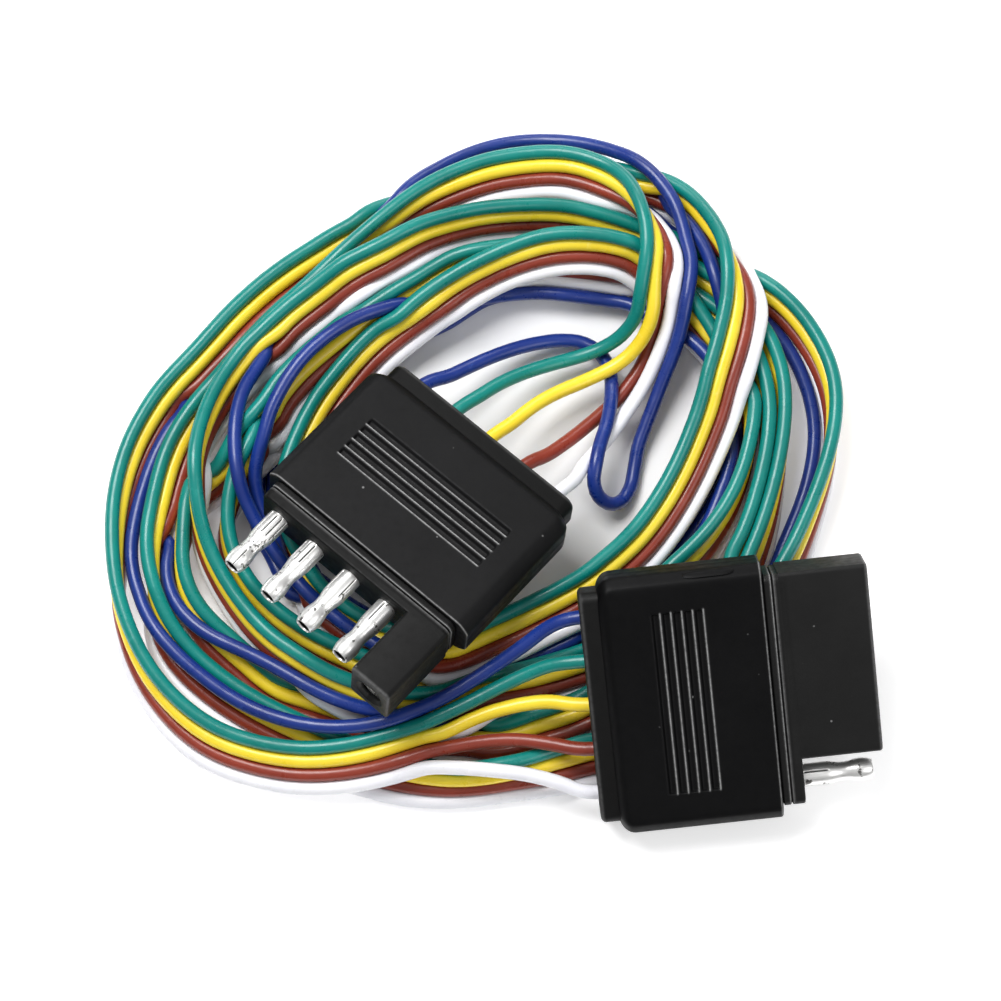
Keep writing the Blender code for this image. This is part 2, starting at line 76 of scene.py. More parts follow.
RIBBON = [
 # loop 1: up the inner right side, over the top, outer left
 (643, 282, 10, -128), (648, 258, 10, -127), (648, 238, 10, -124), (645, 218, 10, -108),
 (639, 200, 10, -92), (630, 184, 10, -70), (615, 169, 10, -45), (597, 160, 10, -42),
 (575, 153, 10, -38), (550, 151, 10, -36), (520, 153, 9.8, -36), (490, 158, 9.2, -38),
 (460, 168, 8.2, -42), (430, 182, 7.2, -50), (405, 198, 6.4, -60), (385, 213, 5.8, -72),
 (360, 234, 5.2, -78), (335, 257, 4.7, -80), (310, 280, 4.5, -80), (288, 300, 4.5, -78),
 (266, 321, 4.5, -76), (246, 342, 4.6, -70), (228, 363, 4.8, -62), (212, 382, 5, -56),
 (200, 395, 5.4, -52), (186, 413, 5.8, -50), (172, 436, 6, -47), (162, 460, 6, -45),
 (155, 485, 6, -47), (150, 515, 6, -55), (148, 545, 5.5, -68), (152, 577, 5, -88),
 (162, 607, 4.8, -112), (180, 637, 4.8, -132), (203, 660, 4.8, -140), (230, 681, 4.6, -144),
 (262, 701, 3.8, -146), (300, 720, 2.4, -149), (340, 738, 1.2, -152), (380, 754, 0.6, -148),
 (420, 767, 0.6, -130), (460, 773, 0.6, -122), (500, 769, 0.6, -122), (530, 758, 0.6, -132),
 (560, 749, 0.6, -150), (595, 735, 0.5, -158),
 # under the second connector, outermost right
 (650, 706, 0.5, -172), (705, 663, 0.5, -160), (750, 610, 0.6, -138), (788, 553, 0.8, -115),
 (808, 510, 1.0, -106), (825, 465, 1.0, -98), (834, 428, 1.0, -89), (836, 392, 1.0, -78),
 (829, 361, 1.0, -71), (815, 333, 1.0, -67), (796, 307, 1.2, -64), (779, 292, 1.4, -62),
 (758, 279, 1.8, -60), (734, 267, 2.4, -55), (706, 254, 3.4, -54), (672, 239, 4.6, -56),
 # loop 2: second ribbon at the top
 (640, 225, 5.4, -60), (615, 216, 6, -62), (590, 210, 6, -63), (560, 205, 6, -64),
 (520, 205, 6, -64), (490, 207, 6.4, -63), (460, 212, 7, -62), (430, 221, 7.4, -58),
 (400, 235, 7.6, -54), (375, 248, 8, -50), (350, 262, 8, -48), (325, 277, 8, -47),
 (300, 295, 8, -47), (275, 315, 8, -47), (253, 336, 8, -48), (236, 356, 8, -50),
 (221, 377, 8, -60), (209, 400, 8, -68), (200, 425, 8, -77), (195, 452, 8, -85),
 (194, 480, 8, -92), (198, 508, 8, -98), (207, 540, 8, -102), (220, 569, 8, -104),
 (240, 600, 7, -106), (267, 631, 7, -109), (298, 655, 7, -113), (328, 671, 6.5, -119),
 (357, 683, 5.5, -128), (390, 691, 4.5, -138), (425, 693, 3.5, -146), (460, 686, 3, -150),
 (495, 676, 2.6, -150), (530, 666, 2.4, -145), (565, 655, 2.2, -145), (610, 640, 2.0, -150),
 (660, 618, 2.0, -150), (710, 585, 2.0, -135), (745, 543, 2.0, -115), (765, 500, 2.2, -102),
 (779, 452, 2.3, -92), (785, 408, 2.4, -86), (782, 370, 2.6, -80), (770, 337, 2.8, -75),
 (750, 308, 3.0, -68), (722, 286, 3.4, -60), (690, 270, 3.6, -55), (655, 260, 3.8, -50),
 # loop 3: hidden at the top, dark strand on the left, yellow strip below
 (620, 254, 4.0, -50), (585, 249, 4.0, -50), (550, 246, 4.0, -52), (515, 245, 4.0, -55),
 (485, 248, 4.0, -58), (455, 257, 4.0, -58), (425, 271, 4.0, -58), (395, 287, 4.0, -56),
 (365, 306, 4.0, -54), (335, 328, 4.0, -52), (305, 352, 4.0, -50), (278, 379, 4.0, -50),
 (255, 408, 4.0, -52), (238, 434, 4.0, -58), (221, 461, 4.0, -66), (203, 487, 4.0, -78),
 (188, 513, 4.0, -92), (180, 541, 4.0, -102), (184, 573, 3.6, -110), (199, 606, 3.0, -122),
 (224, 633, 2.6, -134), (254, 656, 2.4, -143), (290, 679, 2.3, -148), (330, 697, 2.2, -150),
 (370, 709, 2.0, -152), (410, 717, 1.8, -155), (450, 720, 1.8, -160), (490, 718, 2.0, -162),
 (530, 712, 1.8, -160), (570, 702, 1.7, -160), (620, 684, 1.6, -155), (670, 648, 1.6, -140),
 (712, 603, 1.6, -125), (740, 555, 1.6, -112), (756, 508, 1.7, -104), (766, 462, 1.8, -95),
 (769, 420, 1.9, -88), (764, 382, 2.2, -80), (750, 347, 2.6, -72), (725, 314, 3.0, -64),
 (694, 286, 3.4, -58), (660, 268, 3.6, -55),
 # a loop that is mostly beneath the others, dark on the left
 (625, 259, 3.4, -55), (590, 254, 3.3, -55), (555, 250, 3.2, -55), (520, 249, 3.2, -56),
 (490, 254, 3.2, -58), (460, 264, 3.2, -60), (430, 277, 3.2, -60), (398, 293, 3.2, -60),
 (368, 311, 3.2, -60), (338, 334, 3.2, -60), (310, 360, 3.2, -60), (286, 388, 3.2, -62),
 (264, 418, 3.2, -66), (247, 448, 3.2, -70), (235, 477, 3.2, -78), (228, 506, 3.0, -90),
 (229, 534, 3.0, -104), (240, 564, 3.0, -107), (259, 592, 2.8, -112), (288, 617, 2.6, -118),
 (322, 638, 2.2, -125), (358, 653, 1.8, -134), (396, 663, 1.4, -144), (436, 666, 1.2, -150),
 (476, 659, 1.0, -150), (516, 648, 1.0, -148), (556, 634, 1.0, -145), (604, 611, 1.0, -142),
 (652, 578, 1.0, -132), (694, 543, 1.0, -116), (723, 508, 1.2, -104), (741, 472, 1.4, -96),
 (749, 437, 1.8, -90), (748, 403, 2.2, -82), (738, 369, 2.3, -78), (719, 335, 2.6, -72),
 (696, 304, 3.4, -64), (668, 270, 4.8, -62),
 # loop 4: third ribbon at the top, inner left, under the first connector
 (640, 245, 6.2, -62), (614, 237, 6.8, -61), (587, 233, 7, -59), (555, 233, 7, -56),
 (522, 241, 7, -56), (492, 254, 7, -57), (463, 268, 7, -56), (435, 285, 7, -54),
 (405, 305, 7, -50), (378, 325, 7, -46), (352, 349, 7, -43), (330, 375, 7, -40),
 (312, 402, 6.6, -42), (298, 430, 6, -46), (287, 458, 5, -52), (281, 488, 4, -62),
 (283, 518, 3, -78), (295, 550, 2.5, -100), (320, 583, 2.0, -125), (355, 612, 2.0, -142),
 (395, 631, 2.0, -150), (430, 637, 2.5, -152), (465, 631, 3.5, -150), (500, 617, 4.6, -148),
 (540, 598, 5.6, -146), (575, 579, 6.2, -145), (605, 558, 6.6, -142), (632, 531, 7, -140),
 (655, 500, 7, -140), (675, 465, 7, -140), (690, 430, 7, -142), (703, 393, 7, -146),
 (713, 356, 7, -150), (721, 322, 7, -152), (727, 290, 7, -140), (728, 262, 7, -112),
 (722, 238, 7, -85), (710, 217, 6.8, -70), (693, 199, 6.4, -62), (670, 183, 6, -58),
 # loop 5: hidden under loop 1 at the top, outermost left and bottom
 (643, 174, 5, -55), (612, 168, 4.5, -55), (580, 164, 4.5, -55), (545, 163, 4.5, -55),
 (510, 166, 4.5, -55), (475, 174, 4.5, -55), (440, 186, 4.5, -52), (405, 201, 4.5, -50),
 (370, 215, 4.5, -48), (337, 231, 4.5, -46), (304, 252, 4.5, -43), (270, 275, 4.5, -40),
 (238, 303, 4.5, -38), (210, 332, 4.5, -38), (185, 360, 4.5, -40), (162, 387, 4.5, -42),
 (143, 413, 4.5, -45), (129, 440, 4.5, -50), (119, 470, 4.5, -56), (113, 503, 4.5, -64),
 (112, 537, 4.5, -76), (114, 569, 4.5, -88), (120, 600, 4.5, -98), (134, 638, 4.5, -108),
 (154, 673, 4.5, -118), (183, 704, 4.5, -128), (216, 727, 4.5, -138), (253, 740, 4.5, -142),
 (292, 747, 4.5, -147), (332, 746, 4.5, -151), (370, 739, 4.8, -155), (400, 730, 5.2, -158),
]

# the wires part from the ribbon near each connector; rows as above, no lean
FREE_A = {
 "green": [(466, 407, 12), (482, 394, 12), (503, 382, 12), (530, 371, 11), (560, 362, 11),
           (592, 352, 10.5), (614, 340, 10.2), (630, 324, 10), (640, 303, 10)],
 "yellow": [(502, 433, 12), (520, 416, 12), (545, 399, 11), (575, 385, 11), (602, 373, 10.5),
            (626, 357, 10.5), (643, 336, 10.2), (653, 312, 10)],
 "brown": [(536, 463, 12), (555, 450, 12), (580, 432, 11), (604, 411, 11), (627, 387, 11),
           (645, 360, 10.5), (656, 330, 10.2), (662, 305, 10)],
 "white": [(571, 487, 12), (586, 468, 12), (604, 443, 11), (626, 413, 11), (646, 381, 11),
           (660, 347, 10.5), (668, 318, 10.2), (671, 296, 10)],
}
FREE_B = {
 "green": [(425, 721, 6), (452, 711, 6.3), (480, 697, 6.6), (510, 682, 7), (540, 669, 7), (562, 661, 7)],
 "yellow": [(425, 737, 6), (452, 728, 6.2), (482, 715, 6.4), (512, 707, 6.6), (540, 702, 6.6), (566, 701, 6.6)],
 "brown": [(425, 751, 6), (452, 747, 6), (482, 742, 6), (515, 740, 6), (545, 743, 6), (570, 747, 6)],
 "white": [(425, 765, 6), (452, 768, 5.6), (482, 768, 5.4), (515, 772, 5.2), (545, 779, 5), (572, 786, 5)],
}
BLUE = [
 (434, 383, 12), (450, 376, 12), (473, 365, 12), (500, 354, 11.5), (530, 345, 11), (561, 341, 10),
 (586, 344, 8), (602, 356, 6), (611, 380, 4.5), (609, 415, 3), (602, 452, 1.6), (599, 478, 0.6),
 (602, 499, 0.8), (609, 508, 2.0), (617, 500, 3.6), (625, 480, 5.0), (636, 452, 6.2), (649, 418, 7.4),
 (663, 380, 8.6),
 (677, 340, 9.5), (685, 303, 10), (688, 268, 10), (686, 240, 10), (679, 213, 10), (665, 187, 10),
 (645, 167, 10), (618, 153, 10), (585, 144, 10), (548, 141, 10), (510, 143, 10), (475, 152, 10),
 (445, 165, 9.5), (420, 180, 8.8), (400, 196, 8), (380, 213, 7), (355, 232, 4.4), (325, 258, 3),
 (295, 285, 2.6), (262, 315, 2.6), (235, 345, 2.8), (215, 376, 3), (200, 408, 3.2), (190, 440, 3.6),
 (182, 475, 4.2), (174, 510, 5), (168, 542, 6), (168, 573, 7), (178, 603, 8), (200, 627, 9),
 (230, 644, 9.4), (266, 662, 9.4), (304, 681, 9), (342, 698, 8), (378, 710, 6.5), (415, 719, 4.6),
 (455, 725, 2.6), (500, 728, 2.2), (560, 728, 1.2), (620, 712, 1.0), (680, 676, 1.0), (735, 622, 1.0),
 (775, 560, 1.3), (797, 515, 1.5), (810, 472, 1.6), (815, 432, 1.7), (811, 396, 1.8), (800, 366, 2.0),
 (782, 340, 2.3), (757, 314, 3), (725, 281, 3.6), (695, 248, 4.6), (665, 220, 5.4), (635, 204, 5.8),
 (600, 195, 6), (565, 193, 5.6), (530, 201, 5.0), (505, 213, 4.6), (484, 231, 4.4), (464, 250, 4.6), (443, 263, 5.2),
 (416, 272, 6.4), (383, 282, 7.4), (350, 292, 8.2), (320, 304, 9), (291, 322, 9), (264, 350, 9),
 (246, 383, 9), (237, 420, 9), (235, 456, 9), (241, 488, 8.6), (254, 517, 7.6), (272, 548, 6.6),
 (295, 578, 6), (322, 605, 5.6), (350, 628, 5), (380, 646, 4), (412, 659, 3), (450, 665, 2.4),
 (490, 662, 2.2), (532, 651, 2.4), (575, 636, 2.4), (612, 605, 2.4), (640, 568, 2.6), (663, 538, 3),
 (686, 505, 3), (706, 472, 3), (722, 438, 3), (731, 402, 3.0), (727, 372, 3.4), (710, 352, 3.8),
 (685, 331, 4.2), (655, 310, 4.4), (622, 296, 4.8), (590, 286, 5), (560, 281, 5), (530, 283, 5),
 (500, 292, 5), (470, 302, 5), (440, 305, 5), (410, 303, 5), (380, 308, 5.4), (350, 320, 6),
 (325, 337, 6.4), (300, 360, 6.6), (279, 390, 6.6), (264, 422, 6.6), (255, 455, 6.6), (256, 488, 6.4),
 (266, 520, 6), (283, 550, 5), (305, 574, 4), (335, 596, 3), (370, 616, 2.6), (410, 640, 2.6),
 (450, 652, 2.4), (490, 650, 2.2), (535, 640, 2.0), (580, 620, 2.0), (622, 588, 2.4), (655, 556, 2.6),
 (685, 520, 2.6), (708, 484, 2.6), (726, 448, 2.6), (735, 412, 2.6), (733, 378, 2.8), (722, 348, 3.0),
 (700, 318, 3.4), (672, 292, 3.6), (640, 276, 3.8), (605, 268, 4), (570, 266, 4), (535, 268, 4),
 (500, 277, 4), (465, 290, 4), (430, 306, 3.8), (395, 322, 3.6), (360, 340, 3.4), (328, 362, 3.2),
 (300, 388, 3), (277, 418, 2.8), (260, 450, 2.8), (252, 484, 2.8), (256, 518, 2.8), (270, 552, 2.8),
 (295, 585, 2.6), (330, 617, 2.4), (370, 645, 2.2), (415, 668, 2.0), (460, 680, 1.8), (510, 680, 1.6),
 (560, 668, 1.5), (610, 640, 1.5), (655, 600, 1.6), (690, 555, 2), (712, 512, 2.3), (728, 470, 2.5),
 (735, 430, 2.0), (736, 394, 2.0), (728, 358, 2.2), (711, 324, 2.6), (684, 297, 3.0), (650, 281, 3.0),
 (615, 274, 3.0), (580, 273, 3.0), (545, 277, 3.0), (510, 287, 3.0), (475, 300, 2.8), (440, 314, 2.6),
 (405, 330, 2.4), (370, 348, 2.2), (338, 370, 2.0), (311, 396, 1.8), (289, 426, 1.6), (275, 458, 1.4),
 (269, 490, 1.2), (273, 522, 1.0), (287, 553, 0.8), (310, 583, 0.6), (341, 611, 0.4), (379, 634, 0.4),
 (421, 649, 0.4), (466, 656, 0.4), (511, 653, 0.4), (556, 643, 0.4), (602, 622, 0.6), (646, 588, 0.8),
 (683, 548, 1.2), (709, 508, 1.4), (728, 468, 1.8), (740, 430, 2.2),
 (744, 394, 2.6), (740, 360, 3.4), (731, 330, 4.8), (722, 300, 6.2), (713, 270, 7.2),
 (700, 237, 7.6), (681, 208, 7.8), (660, 190, 7), (635, 180, 5.4), (605, 174, 4), (570, 171, 4),
 (535, 171, 4), (500, 176, 4), (465, 186, 4), (430, 202, 4), (395, 222, 2.6), (360, 243, 1.6),
 (325, 268, 1.4), (292, 295, 1.4), (260, 325, 1.6), (230, 355, 2.4), (205, 382, 3.8), (184, 405, 5.0),
 (167, 432, 5.4), (153, 462, 6), (142, 493, 7), (134, 525, 7.6), (131, 558, 8), (138, 590, 8),
 (153, 621, 8), (176, 651, 8), (205, 678, 8), (240, 702, 8), (279, 718, 8), (317, 726, 8),
 (355, 726, 8), (393, 718, 8.3), (432, 703, 8.6), (465, 685, 8.8), (497, 664, 9), (525, 645, 9),
 (552, 624, 9),
]

# ---- wire solver ------------------------------------------------------------
CAM = CAM_TARGET + CAM_DIST * np.array([0.0, -math.cos(CAM_ELEV), math.sin(CAM_ELEV)])
FWD = np.array([0.0, math.cos(CAM_ELEV), -math.sin(CAM_ELEV)])
RIGHT = np.array([1.0, 0.0, 0.0])
UP = np.array([0.0, math.sin(CAM_ELEV), math.cos(CAM_ELEV)])


def ray_dirs(u, v):
    a = (np.asarray(u, float) - 500.5) / CAM_F
    b = (np.asarray(v, float) - 500.5) / CAM_F
    return FWD + a[..., None] * RIGHT - b[..., None] * UP


def unproject(u, v, z):
    d = ray_dirs(u, v)
    t = (np.asarray(z, float) - CAM[2]) / d[..., 2]
    return CAM + t[..., None] * d


def project(p):
    q = np.asarray(p, float) - CAM
    w = q @ FWD
    return 500.5 + CAM_F * (q @ RIGHT) / w, 500.5 - CAM_F * (q @ UP) / w


def euler_matrix(yaw, pitch, roll):
    y, p, r = (math.radians(a) for a in (yaw, pitch, roll))
    rz = np.array([[math.cos(y), -math.sin(y), 0], [math.sin(y), math.cos(y), 0], [0, 0, 1]])
    ry = np.array([[math.cos(p), 0, math.sin(p)], [0, 1, 0], [-math.sin(p), 0, math.cos(p)]])
    rx = np.array([[1, 0, 0], [0, math.cos(r), -math.sin(r)], [0, math.sin(r), math.cos(r)]])
    return rz @ ry @ rx


A_ORIGIN = np.array([-17.76, 32.03, 18.20])
A_ROT = euler_matrix(228.54, -10.53, 4.68)
B_ORIGIN = np.array([11.54, -24.53, 17.30])
B_ROT = euler_matrix(5.95, -1.86, 25.43)
WIRES = ["green", "yellow", "brown", "white", "blue"]
WAY = {"blue": -2, "green": -1, "yellow": 0, "brown": 1, "white": 2}


def to_world(which, p):
    o, r = (A_ORIGIN, A_ROT) if which == "a" else (B_ORIGIN, B_ROT)
    return o + np.asarray(p, float) @ r.T


def smooth_rows(rows, step_px):
    """Rows (any width, u and v first) on a centripetal curve, dense."""
    rows = np.array(rows, float)
    n = len(rows)
    ext = np.vstack([2 * rows[0] - rows[1], rows, 2 * rows[-1] - rows[-2]])
    out = []
    for i in range(1, n):
        p0, p1, p2, p3 = ext[i - 1:i + 3]
        d = [max(1e-6, np.hypot(*(b - a)[:2])) ** 0.5 for a, b in ((p0, p1), (p1, p2), (p2, p3))]
        t0, t1, t2, t3 = 0, d[0], d[0] + d[1], d[0] + d[1] + d[2]
        m = max(2, int(round(d[1] ** 2 / step_px)))
        for t in t1 + (t2 - t1) * np.arange(m) / m:
            a1 = ((t1 - t) * p0 + (t - t0) * p1) / (t1 - t0)
            a2 = ((t2 - t) * p1 + (t - t1) * p2) / (t2 - t1)
            a3 = ((t3 - t) * p2 + (t - t2) * p3) / (t3 - t2)
            b1 = ((t2 - t) * a1 + (t - t0) * a2) / (t2 - t0)
            b2 = ((t3 - t) * a2 + (t - t1) * a3) / (t3 - t1)
            out.append(((t2 - t) * b1 + (t - t1) * b2) / (t2 - t1))
    out.append(rows[-1])
    return np.array(out)


def resample(p, step, cols=3):
    s = np.concatenate([[0], np.cumsum(np.linalg.norm(np.diff(p[:, :cols], axis=0), axis=1))])
    n = max(2, int(round(s[-1] / step)) + 1)
    t = np.linspace(0, s[-1], n)
    return np.stack([np.interp(t, s, p[:, c]) for c in range(p.shape[1])], axis=1)


RAISE = 4.3        # mm of starting height for each step of stacking order
BEND_STEPS = 4     # a bend is measured over twice this many solver steps
BEND_CHORD = 15.0  # and its chord, mm, is at least this: a radius of about 9 mm


def start_wires():
    """Starting centrelines: dict colour -> (points, ray u, v, weight, ribbon index)."""
    dense = smooth_rows(RIBBON, 3.0)
    # height of green when the ribbon's lowest wire has the stacking order's height
    phi = np.radians(dense[:, 3])
    z = D / 2 + RAISE * dense[:, 2] + 3 * PITCH_R * np.abs(np.sin(phi))
    g = unproject(dense[:, 0], dense[:, 1], z)
    full = np.hstack([g, dense[:, 2:4]])
    full = resample(full, STEP)
    g, order, phi = full[:, :3], full[:, 3], np.radians(full[:, 4])
    t = np.gradient(g, axis=0)
    t[:, 2] = 0
    t /= np.linalg.norm(t, axis=1)[:, None]
    n_in = np.stack([-t[:, 1], t[:, 0], 0 * t[:, 0]], axis=1)
    lean = np.cos(phi)[:, None] * n_in + np.sin(phi)[:, None] * np.array([0, 0, 1.0])
    wires = {}
    for k, colour in enumerate(WIRES):
        ends = []
        for tag in ("a", "b"):
            side = 1 if tag == "a" else -1
            y = side * WAY[colour] * 10.0
            xs = -2.6 - STEP * np.arange(2)
            ends.append(to_world(tag, [(x, y, 0) for x in xs]))
        if colour == "blue":
            rows = smooth_rows(BLUE, 3.0)
            zz = D / 2 + RAISE * rows[:, 2]
            za, zb = ends[0][-1, 2], ends[1][-1, 2]
            na, nb = int(0.055 * len(rows)), int(0.06 * len(rows))
            zz[:na] = za + (zz[na] - za) * np.linspace(0, 1, na)
            zz[-nb:] = zz[-nb - 1] + (zb - zz[-nb - 1]) * np.linspace(0, 1, nb)
            mid = unproject(rows[:, 0], rows[:, 1], zz)
            mid = resample(np.hstack([mid, rows[:, 2:3]]), STEP)
            od = mid[:, 3]
            mid = mid[:, :3]
            rib = np.full(len(mid), -1)
        else:
            core = g + k * PITCH_R * lean
            fa = smooth_rows([list(r) for r in FREE_A[colour]], 3.0)
            fb = smooth_rows([list(r) for r in FREE_B[colour]], 3.0)
            pa = unproject(fa[:, 0], fa[:, 1], D / 2 + RAISE * fa[:, 2])
            pb = unproject(fb[:, 0], fb[:, 1], D / 2 + RAISE * fb[:, 2])
            # the free ends climb from the connector to the ribbon's height
            za, zb = ends[0][-1, 2], ends[1][-1, 2]
            wa = np.linspace(0, 1, len(pa)) ** 1.5
            wb = np.linspace(0, 1, len(pb)) ** 0.7
            pa = unproject(fa[:, 0], fa[:, 1], za + (core[0, 2] - za) * wa)
            pb = unproject(fb[:, 0], fb[:, 1], core[-1, 2] + (zb - core[-1, 2]) * wb)
            pa = resample(np.vstack([pa, core[:1]]), STEP)[:-1]
            pb = resample(np.vstack([core[-1:], pb]), STEP)[1:]
            mid = np.vstack([pa, core, pb])
            rib = np.concatenate([np.full(len(pa), -1), np.arange(len(core)), np.full(len(pb), -1)])
            od = np.concatenate([np.full(len(pa), 10.0), order, np.full(len(pb), 6.0)])
        # straight ends, then a blend to the traced route
        a, b = ends[0], ends[1][::-1]
        ga = resample(np.vstack([a[-1:], mid[:1]]), STEP)[1:-1]
        gb = resample(np.vstack([mid[-1:], b[:1]]), STEP)[1:-1]
        pts = np.vstack([a, ga, mid, gb, b])
        pad_a, pad_b = len(a) + len(ga), len(gb) + len(b)
        rib = np.concatenate([np.full(pad_a, -1), rib, np.full(pad_b, -1)])
        od = np.concatenate([np.full(pad_a, 8.0), od, np.full(pad_b, 6.0)])
        pin = np.zeros(len(pts))
        pin[:2] = 1
        pin[-2:] = 1
        loose = np.ones(len(pts))
        loose[:pad_a] = 0
        loose[len(pts) - pad_b:] = 0
        u, v = project(pts)
        wires[colour] = dict(p=pts, u=u, v=v, rib=rib, order=od, pin=pin, loose=loose)
    wires["lean"] = phi
    return wires


def box_push(p, which, boxes, margin):
    o, r = (A_ORIGIN, A_ROT) if which == "a" else (B_ORIGIN, B_ROT)
    q = (p - o) @ r
    moved = q.copy()
    hit = np.zeros(len(p), bool)
    for x0, x1, y0, y1, z0, z1 in boxes:
        lo = np.array([x0, y0, z0]) - margin
        hi = np.array([x1, y1, z1]) + margin
        ins = np.all((q > lo) & (q < hi), axis=1)
        if not ins.any():
            continue
        hit |= ins
        # wires always lie beneath: push down and out of the nearest side
        gap_lo = q[ins] - lo
        gap_hi = hi - q[ins]
        cost = np.stack([gap_lo[:, 2] * 0.7, gap_lo[:, 1] * 1.3, gap_hi[:, 1] * 1.3], axis=1)
        best = cost.argmin(axis=1)
        m = moved[ins]
        for j in range(len(m)):
            if best[j] == 0:
                m[j, 2] -= gap_lo[j, 2]
            elif best[j] == 1:
                m[j, 1] -= gap_lo[j, 1]
            else:
                m[j, 1] += gap_hi[j, 1]
        moved[ins] = m
    return o + moved @ r.T, hit


BOX_A = [(-4.0, 36.0, -28.0, 28.0, -6.3, 6.3), (36.0, 41.2, -26.0, 26.0, -6.1, 6.1),
         (41.2, 58.8, 15.7, 26.3, -6.1, 6.1), (41.2, 57.0, -23.5, 15.7, -2.5, 2.5)]
BOX_B = [(-4.0, 36.0, -28.0, 28.0, -6.3, 6.3), (36.0, 41.2, -26.0, 26.0, -6.1, 6.1),
         (41.2, 58.8, -15.8, 26.3, -6.1, 6.1), (41.2, 57.0, -23.5, -15.8, -2.5, 2.5)]


def solve(wires, iters=420, log=None):
    names = WIRES
    cosp, sinp = np.cos(wires["lean"])[:, None], np.sin(wires["lean"])[:, None]
    up = np.array([0, 0, 1.0])
    off = np.cumsum([0] + [len(wires[n]["p"]) for n in names])
    P = np.vstack([wires[n]["p"] for n in names])
    U = np.concatenate([wires[n]["u"] for n in names])
    V = np.concatenate([wires[n]["v"] for n in names])
    RD = ray_dirs(U, V)
    RD = RD / RD[:, 2:3]
    ORD = np.concatenate([wires[n]["order"] for n in names])
    RIB = np.concatenate([wires[n]["rib"] for n in names])
    PIN = np.concatenate([wires[n]["pin"] for n in names]) > 0
    LOOSE = np.concatenate([wires[n]["loose"] for n in names])
    WID = np.concatenate([np.full(len(wires[n]["p"]), i) for i, n in enumerate(names)])
    IDX = np.concatenate([np.arange(len(wires[n]["p"])) for n in names])
    P0 = P.copy()
    free = ~PIN
    pull_w = np.clip(0.03 + 0.022 * ORD, 0.03, 0.25) * LOOSE
    # the outermost turns show whatever lies on them
    pull_w[(U > 780) & (WID < 4)] = 0.12
    # ribbon constraint pairs
    start = {}
    for i, n in enumerate(names[:4]):
        start[i] = off[i] + int(np.argmax(wires[n]["rib"] >= 0))
    count = int((wires["green"]["rib"] >= 0).sum())
    rp = []
    for i in range(4):
        for j in range(i + 1, 4):
            rp.append((start[i] + np.arange(count), start[j] + np.arange(count),
                       np.full(count, (j - i) * PITCH_R)))
    RA = np.concatenate([a for a, _, _ in rp])
    RB = np.concatenate([b for _, b, _ in rp])
    RL = np.concatenate([c for _, _, c in rp])
    taper = np.ones(count)
    taper[:8] = np.linspace(0.1, 1, 8)
    taper[-8:] = np.linspace(1, 0.1, 8)
    RT = np.concatenate([taper] * 6)
    n_all = len(P)
    DC = D + 0.2
    pairs = None
    L0 = np.linalg.norm(np.diff(P, axis=0), axis=1)
    seg_ok = WID[1:] == WID[:-1]
    SA = np.nonzero(seg_ok)[0]
    SL = L0[SA]

    def scatter(idx, vec):
        out = np.empty((n_all, 3))
        for c in range(3):
            out[:, c] = np.bincount(idx, weights=vec[:, c], minlength=n_all)
        return out

    def find_pairs(reach):
        got_a, got_b = [], []
        Q = P.astype(np.float32)
        sq = (Q ** 2).sum(1)
        chunk = 700
        for s in range(0, n_all, chunk):
            e = min(n_all, s + chunk)
            d2 = sq[s:e, None] + sq[None, s:] - 2 * (Q[s:e] @ Q[s:].T)
            a, b = np.nonzero(d2 < reach * reach)
            a = a + s
            b = b + s
            keep = a < b
            a, b = a[keep], b[keep]
            same = (WID[a] == WID[b]) & (np.abs(IDX[a] - IDX[b]) < 5)
            rr = (RIB[a] >= 0) & (RIB[b] >= 0) & (np.abs(RIB[a] - RIB[b]) < 9)
            keep = ~(same | rr)
            got_a.append(a[keep])
            got_b.append(b[keep])
        return np.concatenate(got_a), np.concatenate(got_b)

    def crossing(a, b):
        """+1 where a starts well above b at a crossing, -1 below, 0 elsewhere."""
        rise = P0[a, 2] - P0[b, 2]
        near = np.hypot(P0[a, 0] - P0[b, 0], P0[a, 1] - P0[b, 1]) < 2.2 * DC
        return np.where(near & (np.abs(rise) > 2.6), np.sign(rise), 0.0)

    # points this far apart along a wire stay at least BEND_CHORD apart
    bend_a = np.concatenate([np.arange(off[i], off[i + 1] - 2 * BEND_STEPS) for i in range(5)])
    bend_b = bend_a + 2 * BEND_STEPS

    for it in range(iters):
        f = it / iters
        if it % 10 == 0:
            pairs = find_pairs(DC + 2.6)
            side = crossing(*pairs)
        settle = f < 0.8
        # gravity, faster at the start
        if settle:
            g = 0.20 if f < 0.5 else 0.12
            P[free, 2] -= g
        # pull to the traced line of sight
        t = P[:, 2:3] - CAM[2]
        want = CAM[:2] + RD[:, :2] * t
        P[:, :2] += (pull_w * (1.0 if settle else 0.5))[:, None] * (want - P[:, :2])
        # stiffness: biharmonic, applied inside each wire
        for _ in range(3):
            for i in range(5):
                a, b = off[i], off[i + 1]
                q = P[a:b]
                lap = np.zeros_like(q)
                lap[1:-1] = q[:-2] - 2 * q[1:-1] + q[2:]
                bi = np.zeros_like(q)
                bi[2:-2] = lap[1:-3] - 2 * lap[2:-2] + lap[3:-1]
                q[2:-2] -= 0.055 * bi[2:-2]
                # height is smoothed over a longer reach
                zz = q[:, 2]
                for _ in range(2 if settle else 1):
                    zz[1:-1] += 0.10 * (zz[:-2] - 2 * zz[1:-1] + zz[2:])
        # even spacing along each wire
        dv = P[SA + 1] - P[SA]
        ln = np.linalg.norm(dv, axis=1)
        corr = 0.15 * ((ln - SL) / ln)[:, None] * dv
        P += 0.5 * (scatter(SA, corr) - scatter(SA + 1, corr))
